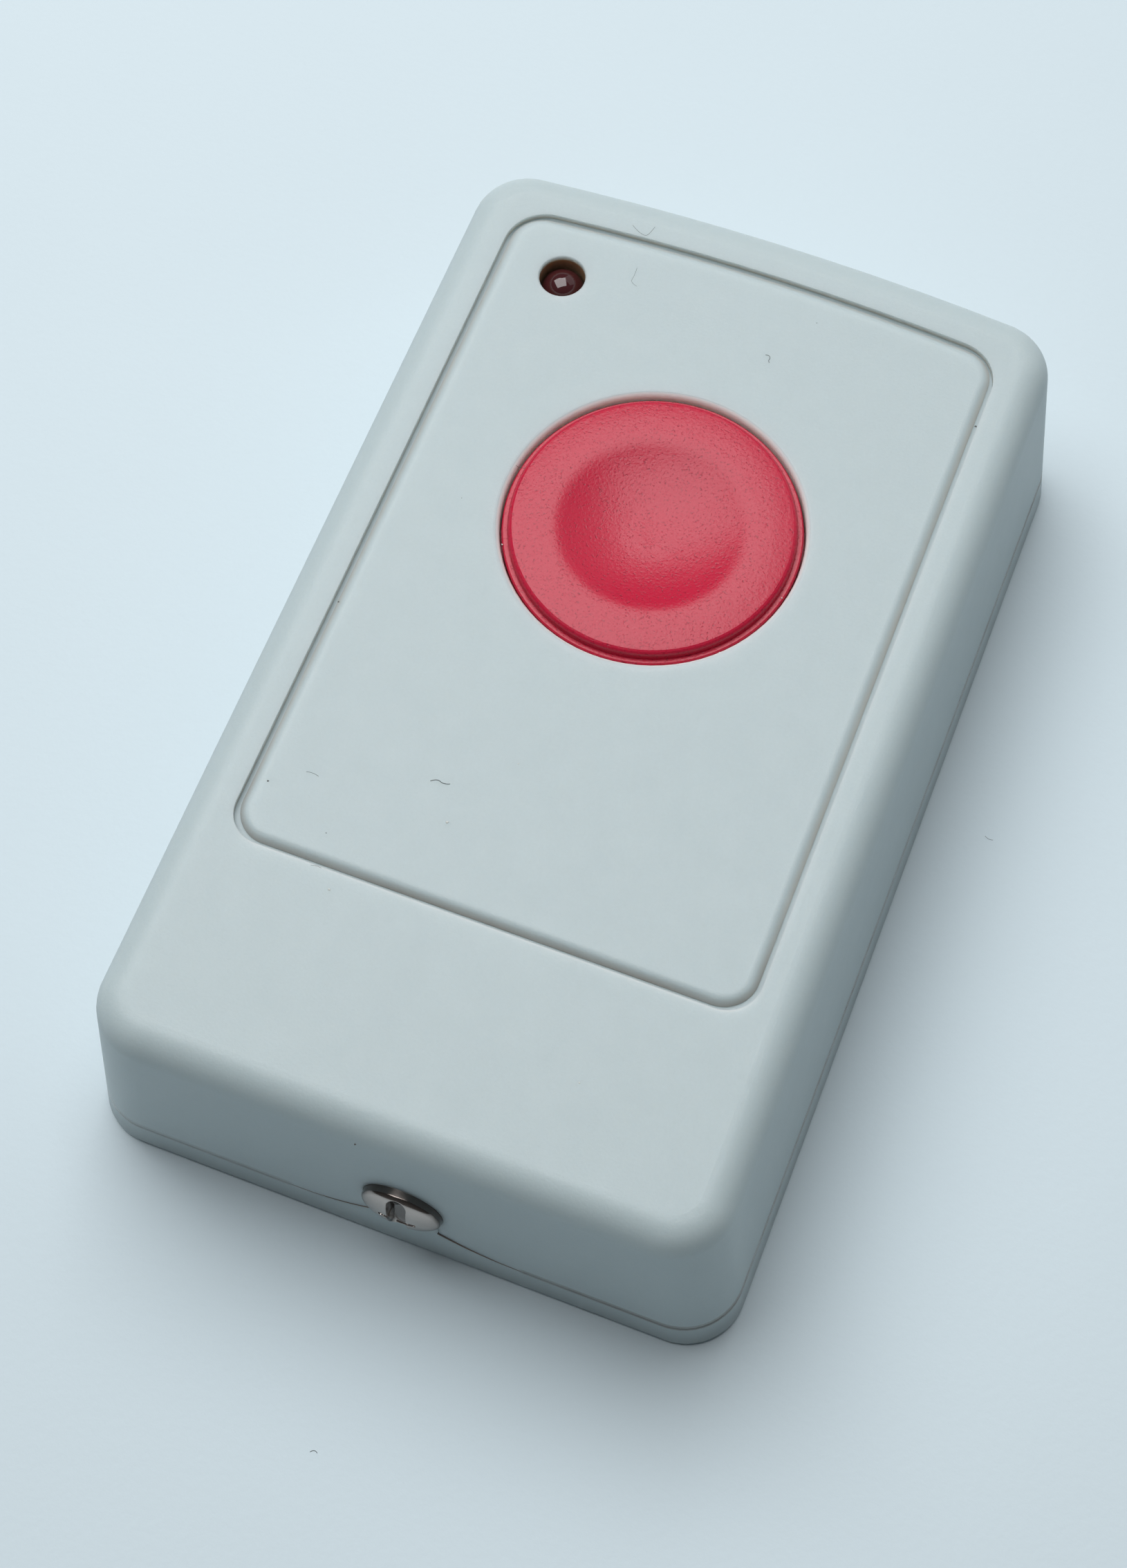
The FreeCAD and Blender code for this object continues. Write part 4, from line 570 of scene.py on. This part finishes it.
# Cap: a push button of crimson ABS, moulded with a polished face, a shallow thumb dish and a
# stepped rim. The gate left a faint swirl at its centre, and its face is finely speckled.
cap_colour = (0.50, 0.013, 0.046)
cap_mean_roughness = 0.27
cap_roughness = (0.24, 0.30)
cap_gloss = 0.34
cap_glow_share = 0.15
cap_glow_depth = (0.0015, 0.0002, 0.0003)
cap_cloud_width = 0.003
cap_cloud_strength = 0.03
cap_gloss_width = 0.0012
cap_grain_width = 0.0002
cap_grain_height = 0.00002
speckle_colour = (0.20, 0.006, 0.022, 1.0)
speckle_width = 0.00016
speckle_peaks = (0.56, 0.82)
speckle_depth = -0.000012
swirl_radius = 0.0006
swirl_soft = 0.0014
swirl_width = 0.0009
swirl_height = 0.00008


def sparse(finish, width, start, end):
    """Lone spots of soft noise: 0 nearly everywhere, and 1 where the noise is at its highest."""
    return ramp(finish, cloud(finish, width), start, end)


cap_red, cap_shader = start_finish("cap_red", cap_colour, cap_mean_roughness)
cap_shader.inputs["Specular IOR Level"].default_value = cap_gloss
cap_shader.inputs["Subsurface Weight"].default_value = cap_glow_share
cap_shader.inputs["Subsurface Radius"].default_value = cap_glow_depth
cap_shader.inputs["Subsurface Scale"].default_value = 1.0
cap_even = mottle(cap_red, cap_shader, cap_colour, cap_cloud_width, cap_cloud_strength)
cap_spots = sparse(cap_red, speckle_width, *speckle_peaks)
cap_speckled = blend_colours(cap_red, cap_spots, cap_even, speckle_colour)
feed(cap_red, cap_shader.inputs["Base Color"], cap_speckled)
roughen(cap_red, cap_shader, cap_gloss_width, *cap_roughness)
swirl = both(
    cap_red,
    round_spot(cap_red, cap_middle, swirl_radius, swirl_soft),
    cloud(cap_red, swirl_width, detail=3.0),
)
emboss(
    cap_red,
    cap_shader,
    (cap_grain_height, cloud(cap_red, cap_grain_width, detail=3.0)),
    (speckle_depth, cap_spots),
    (swirl_height, swirl),
)
dress(cap_red, "button_cap")

# Rim crumbs: a few pale grains of dust caught on the cap's ledge, at places round it given as a
# turn in degrees and a size in millimetres. They move with the cap.
rim_radius = 0.0098
rim_height = 0.01716
rim_turns = ((262, 0.10), (275, 0.06), (352, 0.05), (30, 0.05), (318, 0.06), (205, 0.06))


def place_round(middle, radius, turn, height):
    """A place out from an upright line by a radius, turned about it, at a height."""
    return Vector(
        (middle.x + radius * math.cos(turn), middle.y + radius * math.sin(turn), height)
    )


rim_places = [
    (size, place_round(cap_middle, rim_radius, math.radians(turn), rim_height))
    for turn, size in rim_turns
]
rim_dust = drop_speck("cap_dust", rim_places, pale_dust)
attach(rim_dust, "button")

# Lamp: a round signal lamp of dark red epoxy, sunk just under its hole in the roof, on two
# tinned steel leads. Its dome is polished, so it mirrors the soft box as a small sharp square.
lamp_colour = (0.05, 0.011, 0.013)
lamp_mean_roughness = 0.06
lamp_roughness = (0.05, 0.09)
lamp_cloud_width = 0.0015
lamp_cloud_strength = 0.15
lamp_wave_width = 0.0006
lamp_wave_height = 0.000002
lamp_coat = 0.3

lamp_red, lamp_shader = start_finish("lamp_red", lamp_colour, lamp_mean_roughness)
mottle(lamp_red, lamp_shader, lamp_colour, lamp_cloud_width, lamp_cloud_strength)
roughen(lamp_red, lamp_shader, lamp_wave_width, *lamp_roughness)
emboss(lamp_red, lamp_shader, (lamp_wave_height, cloud(lamp_red, lamp_wave_width)))
lamp_shader.inputs["Coat Weight"].default_value = lamp_coat
lamp_shader.inputs["Coat Roughness"].default_value = lamp_roughness[0]
dress(lamp_red, "led_lamp")


def metal_finish(name, colour, roughness, grain=0.0002):
    """Plain metal with a fine uneven grain in its colour, gloss and surface."""
    scratch_height = 0.000002
    finish, shader = start_finish(name, colour, roughness, metal=1.0)
    mottle(finish, shader, colour, width=grain * 6, strength=0.08)
    roughen(finish, shader, width=grain * 3, low=roughness * 0.75, high=roughness * 1.3)
    emboss(finish, shader, (scratch_height, cloud(finish, grain, detail=3.0)))
    return finish


lead_colour = (0.62, 0.61, 0.58)
lead_tin = metal_finish("lead_tin", lead_colour, roughness=0.32)
dress(lead_tin, "led_leads")

# Case screw: an M3 pan head machine screw, cold headed from steel and nickel plated. It closes
# the case from the near end. Its cross recess has a long slot and short wings, and is painted
# darker deep down as painted shade. Its sizes are in millimetres, and its seat, painted shade and
# grain in metres.
screw_axis = Vector((screw_aside / 1000, 0, (insert_low.z + insert_high.z) / 2))
screw_seat = -0.0355046
head_radius = 2.7
head_height = 1.268
head_edge = 0.44
shank_radius = 1.45
shank_length = 6.6
thread_pitch = 0.5
thread_depth = 0.16
tip_length = 0.5
tip_slope = 0.8
recess_floor = 0.22
recess_slope = 0.16
recess_soft = 0.1
slot_half_width = 0.6
slot_reach = 2.5
wing_half_width = 0.17
wing_reach = 1.2
head_parts = 192
head_steps = 84
thread_steps = 66
sharp_angle = math.radians(50)
nickel_colour = (0.42, 0.375, 0.35)
nickel_roughness = 0.16
nickel_grain = 0.00012
# Painted shade: the cross recess is painted darker deep down.
recess_shade_colour = (0.16, 0.14, 0.13, 1.0)
recess_shade_depth = (0.00072, 0.0005)
recess_shade_soft = 0.00005


def recess_at(across, up):
    """From 0 to 1, how far a place on the head lies in the cross recess, with soft edges."""
    past_end = max(0.0, abs(up) - slot_reach + slot_half_width)
    slot_out = math.hypot(across, past_end) - slot_half_width
    wing_out = max(abs(up) - wing_half_width, abs(across) - wing_reach)
    inside = min(1.0, max(0.0, 0.5 - min(slot_out, wing_out) / recess_soft))
    return inside * inside * (3 - 2 * inside)


def screw_point(radius, turn, height):
    """A point on the screw: out from its axis, round it, and out of its seat, in millimetres."""
    across, up = radius * math.cos(turn), radius * math.sin(turn)
    return Vector(
        (screw_axis.x + across / 1000, screw_seat - height / 1000, screw_axis.z + up / 1000)
    )


turns = [math.tau * part / head_parts for part in range(head_parts)]
rings = []
for step in range(1, head_steps + 1):
    tilt = math.pi / 2 * step / head_steps
    radius = head_radius * math.sin(tilt)
    height = head_edge + (head_height - head_edge) * math.cos(tilt)
    floor = min(height, recess_floor + recess_slope * radius)
    ring = []
    for turn in turns:
        inside = recess_at(radius * math.cos(turn), radius * math.sin(turn))
        ring.append(screw_point(radius, turn, height - (height - floor) * inside))
    rings.append(ring)
rings.append([screw_point(head_radius, turn, 0.0) for turn in turns])
for step in range(thread_steps + 1):
    depth = shank_length * step / thread_steps
    past_tip = max(0.0, depth - shank_length + tip_length)
    ring = []
    for turn in turns:
        ridge = 0.5 + 0.5 * math.cos(turn + math.tau * depth / thread_pitch)
        radius = shank_radius - thread_depth * ridge - past_tip * tip_slope
        ring.append(screw_point(radius, turn, -depth))
    rings.append(ring)


def wrap_rings(name, rings, top):
    """A skin over rings that all have as many points, with a point at the top and a flat end."""
    parts = len(rings[0])
    points = [top] + [point for ring in rings for point in ring]
    faces = [[0, 1 + part, 1 + (part + 1) % parts] for part in range(parts)]
    for row in range(len(rings) - 1):
        near, far = 1 + row * parts, 1 + (row + 1) * parts
        for part in range(parts):
            after = (part + 1) % parts
            faces.append([near + part, far + part, far + after, near + after])
    faces.append([len(points) - parts + part for part in range(parts)])
    mesh = bpy.data.meshes.new(name)
    mesh.from_pydata(points, [], faces)
    mesh.shade_smooth()
    mesh.set_sharp_from_angle(angle=sharp_angle)
    piece = bpy.data.objects.new(name, mesh)
    bpy.context.collection.objects.link(piece)
    return piece


screw = wrap_rings("case_screw_head", rings, screw_point(0, 0, recess_floor))
nickel = metal_finish("screw_nickel", nickel_colour, nickel_roughness, nickel_grain)
nickel_shader = nickel.node_tree.nodes["Principled BSDF"]
nickel_even = nickel_shader.inputs["Base Color"].links[0].from_socket
# Painted shade deep in the cross recess.
recess_painted_shade = both(
    nickel,
    climb(nickel, "Y", screw_seat - recess_shade_depth[0], screw_seat - recess_shade_depth[1]),
    climb(nickel, "Y", screw_seat, screw_seat - recess_shade_soft),
)
nickel_mixed = blend_colours(nickel, recess_painted_shade, nickel_even, recess_shade_colour)
feed(nickel, nickel_shader.inputs["Base Color"], nickel_mixed)
screw.data.materials.append(nickel)
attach(screw, "case")
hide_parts("case_screw")

# Insert: a knurled brass bush, pressed into the boss behind the tongue, that holds the screw.
# Its knurling is raised in the finish, as fine slanted ribs.
brass_colour = (0.68, 0.46, 0.19)
knurl_scale = 1400.0
knurl_height = 0.00008

brass = metal_finish("brass", brass_colour, roughness=0.28)
brass_shader = brass.node_tree.nodes["Principled BSDF"]
to_axis = {
    0: own_place(brass),
    1: (-screw_axis.x, 0.0, -screw_axis.z),
}
insert_place = add_node(brass, "VectorMath", to_axis, operation="ADD").outputs["Vector"]
knurl_wave = {"Vector": insert_place, "Scale": knurl_scale}
knurl = add_node(brass, "TexWave", knurl_wave, bands_direction="DIAGONAL").outputs["Fac"]
emboss(brass, brass_shader, (knurl_height, knurl))
dress(brass, "screw_insert")

# Circuit board: green glass-epoxy laminate under solder mask, with copper tracks that show
# through it as paler lines. Two slotted pan head screws hold it to its posts.
mask_colour = (0.012, 0.10, 0.045)
track_colour = (0.03, 0.19, 0.08, 1.0)
track_width = 0.00022
track_length = 0.0061
track_pitch = 0.0017
track_height = 0.00003
mask_grain_width = 0.0003
mask_grain_height = 0.000004
zinc_colour = (0.55, 0.56, 0.58)

board_green, board_shader = start_finish("board_green", mask_colour, roughness=0.3)
mask_even = mottle(board_green, board_shader, mask_colour, width=0.004, strength=0.08)
track_layout = {
    "Vector": own_place(board_green),
    "Scale": 1.0,
    "Mortar Size": track_width,
    "Mortar Smooth": 0.1,
    "Brick Width": track_length,
    "Row Height": track_pitch,
}
tracks = add_node(board_green, "TexBrick", track_layout, offset=0.37).outputs["Fac"]
track_fields = sparse(board_green, width=0.006, start=0.42, end=0.46)
track_lines = both(board_green, tracks, track_fields)
board_colour = blend_colours(board_green, track_lines, mask_even, track_colour)
feed(board_green, board_shader.inputs["Base Color"], board_colour)
roughen(board_green, board_shader, width=0.002, low=0.25, high=0.38)
emboss(
    board_green,
    board_shader,
    (track_height, track_lines),
    (mask_grain_height, cloud(board_green, mask_grain_width, detail=3.0)),
)
zinc = metal_finish("board_screw_zinc", zinc_colour, roughness=0.3)
dress(board_green, "circuit_board")
dress(zinc, "board_screws")

# Tactile switch: a black glass-filled nylon housing with a pressed steel cover, a steel click
# dome and a black plunger that the cap's stem pushes down. Four tinned legs go into the board.
housing_colour = (0.018, 0.018, 0.019)
plunger_colour = (0.03, 0.028, 0.027)
cover_colour = (0.58, 0.57, 0.55)


def moulded_finish(name, colour, roughness, grain, height):
    """Moulded plastic or resin: even colour with a fine grain of a given width and height."""
    finish, shader = start_finish(name, colour, roughness)
    mottle(finish, shader, colour, width=grain * 12, strength=0.06)
    roughen(finish, shader, width=grain * 5, low=roughness * 0.85, high=roughness * 1.15)
    emboss(finish, shader, (height, cloud(finish, grain, detail=3.0)))
    return finish


switch_black = moulded_finish(
    "switch_black", housing_colour, roughness=0.5, grain=0.0002, height=0.000006
)
plunger_black = moulded_finish(
    "plunger_black", plunger_colour, roughness=0.38, grain=0.00015, height=0.000003
)
cover_steel = metal_finish("cover_steel", cover_colour, roughness=0.3, grain=0.0003)
dress(switch_black, "switch_housing")
dress(plunger_black, "switch_plunger")
dress(cover_steel, "switch_cover")
dress(lead_tin, "switch_terminals")

# Click dome: a thin pressed disc of spring steel under the plunger. It stands on its skirt and
# snaps flat when the cap is pushed.
dome_colour = (0.66, 0.64, 0.60)
dome_radius = 0.00408
dome_crown = 0.0019
dome_thickness = 0.00015
dome_parts = 96
dome_steps = 24

dome_low, dome_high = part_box("switch_dome")
dome_middle = (dome_low + dome_high) / 2
dome_rise = dome_high.z - dome_low.z - dome_thickness
outside = []
for step in range(1, dome_steps + 1):
    radius = dome_radius * step / dome_steps
    fall = max(0.0, radius - dome_crown) / (dome_radius - dome_crown)
    outside.append((radius, dome_high.z - dome_rise * fall * fall))
inside = [(radius, height - dome_thickness) for radius, height in reversed(outside)]
dome_turns = [math.tau * part / dome_parts for part in range(dome_parts)]
dome_rings = [
    [place_round(dome_middle, radius, turn, height) for turn in dome_turns]
    for radius, height in outside + inside
]
dome_top = Vector((dome_middle.x, dome_middle.y, dome_high.z))
dome = wrap_rings("click_dome", dome_rings, dome_top)
dome_steel = metal_finish("dome_steel", dome_colour, roughness=0.2, grain=0.0001)
dome.data.materials.append(dome_steel)
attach(dome, "case")
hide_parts("switch_dome")
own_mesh(dome)

# Battery: a small 12 volt cell in a plain dark sleeve, with bare steel at both ends. It is
# held between a flat nickelled plate with a bowed leaf spring and a flat contact plate.
sleeve_colour = (0.06, 0.075, 0.10)
bare_steel_colour = (0.60, 0.59, 0.57)
bare_low_end = 0.0006
bare_high_end = 0.0018
sleeve_thickness = 0.00004
sleeve_wave_width = 0.002
sleeve_wave_height = 0.000006
contact_colour = (0.64, 0.60, 0.55)
spring_colour = (0.60, 0.57, 0.53)

cell_low, cell_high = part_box("battery")
cell_sleeve, sleeve_shader = start_finish("cell_sleeve", sleeve_colour, roughness=0.3)
sleeve_even = mottle(cell_sleeve, sleeve_shader, sleeve_colour, width=0.004, strength=0.08)
sleeve_ends = (cell_low.x + bare_low_end, cell_high.x - bare_high_end)
sleeve_place = band(cell_sleeve, "X", *sleeve_ends, soft=0.00002)
bare_steel = shade(bare_steel_colour, 1.0)
cell_colour = blend_colours(cell_sleeve, sleeve_place, bare_steel, sleeve_even)
feed(cell_sleeve, sleeve_shader.inputs["Base Color"], cell_colour)
feed(cell_sleeve, sleeve_shader.inputs["Metallic"], between(cell_sleeve, sleeve_place, 1.0, 0.0))
roughen(cell_sleeve, sleeve_shader, width=0.003, low=0.26, high=0.36)
emboss(
    cell_sleeve,
    sleeve_shader,
    (sleeve_thickness, sleeve_place),
    (sleeve_wave_height, cloud(cell_sleeve, sleeve_wave_width)),
)
contact_nickel = metal_finish("contact_nickel", contact_colour, roughness=0.22)
spring_nickel = metal_finish("spring_nickel", spring_colour, roughness=0.26, grain=0.0001)
dress(cell_sleeve, "battery")
dress(contact_nickel, "positive_contact", "negative_plate")
dress(spring_nickel, "negative_spring")

# Radio parts: the encoder chip in black epoxy on tinned legs, the saw resonator in its steel
# can, a transistor, and the loop aerial, a hoop of square copper strip soldered to the board.
chip_colour = (0.016, 0.016, 0.018)
resonator_colour = (0.60, 0.58, 0.54)
transistor_colour = (0.02, 0.019, 0.018)
copper_colour = (0.72, 0.36, 0.20)

chip_black = moulded_finish(
    "chip_black", chip_colour, roughness=0.6, grain=0.00012, height=0.000005
)
can_steel = metal_finish("can_steel", resonator_colour, roughness=0.24)
transistor_black = moulded_finish(
    "transistor_black", transistor_colour, roughness=0.45, grain=0.0002, height=0.000004
)
copper = metal_finish("aerial_copper", copper_colour, roughness=0.3)
dress(chip_black, "encoder_chip")
dress(can_steel, "resonator_can")
dress(transistor_black, "transistor")
dress(lead_tin, "chip_legs", "transistor_legs")
dress(copper, "antenna_loop")

# Small parts: an upright electrolytic capacitor in a shrunk sleeve with a bare aluminium top,
# tan ceramic capacitors, and black film resistors, all soldered flat or by tinned legs.
can_colour = (0.02, 0.03, 0.075)
aluminium_colour = (0.72, 0.73, 0.74)
bare_top_radius = 0.0019
bare_top_depth = 0.0001
bare_top_soft = 0.00005
can_wave_width = 0.0004
can_wave_height = 0.000004
ceramic_colour = (0.36, 0.25, 0.15)
resistor_colour = (0.03, 0.03, 0.033)

can_low, can_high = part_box("capacitor_can")
can_sleeve, can_shader = start_finish("can_sleeve", can_colour, roughness=0.32)
can_even = mottle(can_sleeve, can_shader, can_colour, width=0.002, strength=0.08)
bare_top = both(
    can_sleeve,
    band(can_sleeve, "Z", can_high.z - bare_top_depth, can_high.z, bare_top_soft),
    round_spot(can_sleeve, (can_low + can_high) / 2, bare_top_radius, bare_top_soft),
)
can_mixed = blend_colours(can_sleeve, bare_top, can_even, shade(aluminium_colour, 1.0))
feed(can_sleeve, can_shader.inputs["Base Color"], can_mixed)
feed(can_sleeve, can_shader.inputs["Metallic"], bare_top)
roughen(can_sleeve, can_shader, width=0.001, low=0.28, high=0.38)
emboss(can_sleeve, can_shader, (can_wave_height, cloud(can_sleeve, can_wave_width)))
ceramic_tan = moulded_finish(
    "ceramic_tan", ceramic_colour, roughness=0.5, grain=0.00008, height=0.000003
)
film_black = moulded_finish(
    "film_black", resistor_colour, roughness=0.35, grain=0.0001, height=0.000003
)
dress(can_sleeve, "capacitor_can")
dress(lead_tin, "capacitor_legs")
dress(ceramic_tan, "ceramic_capacitors")
dress(film_black, "resistors")
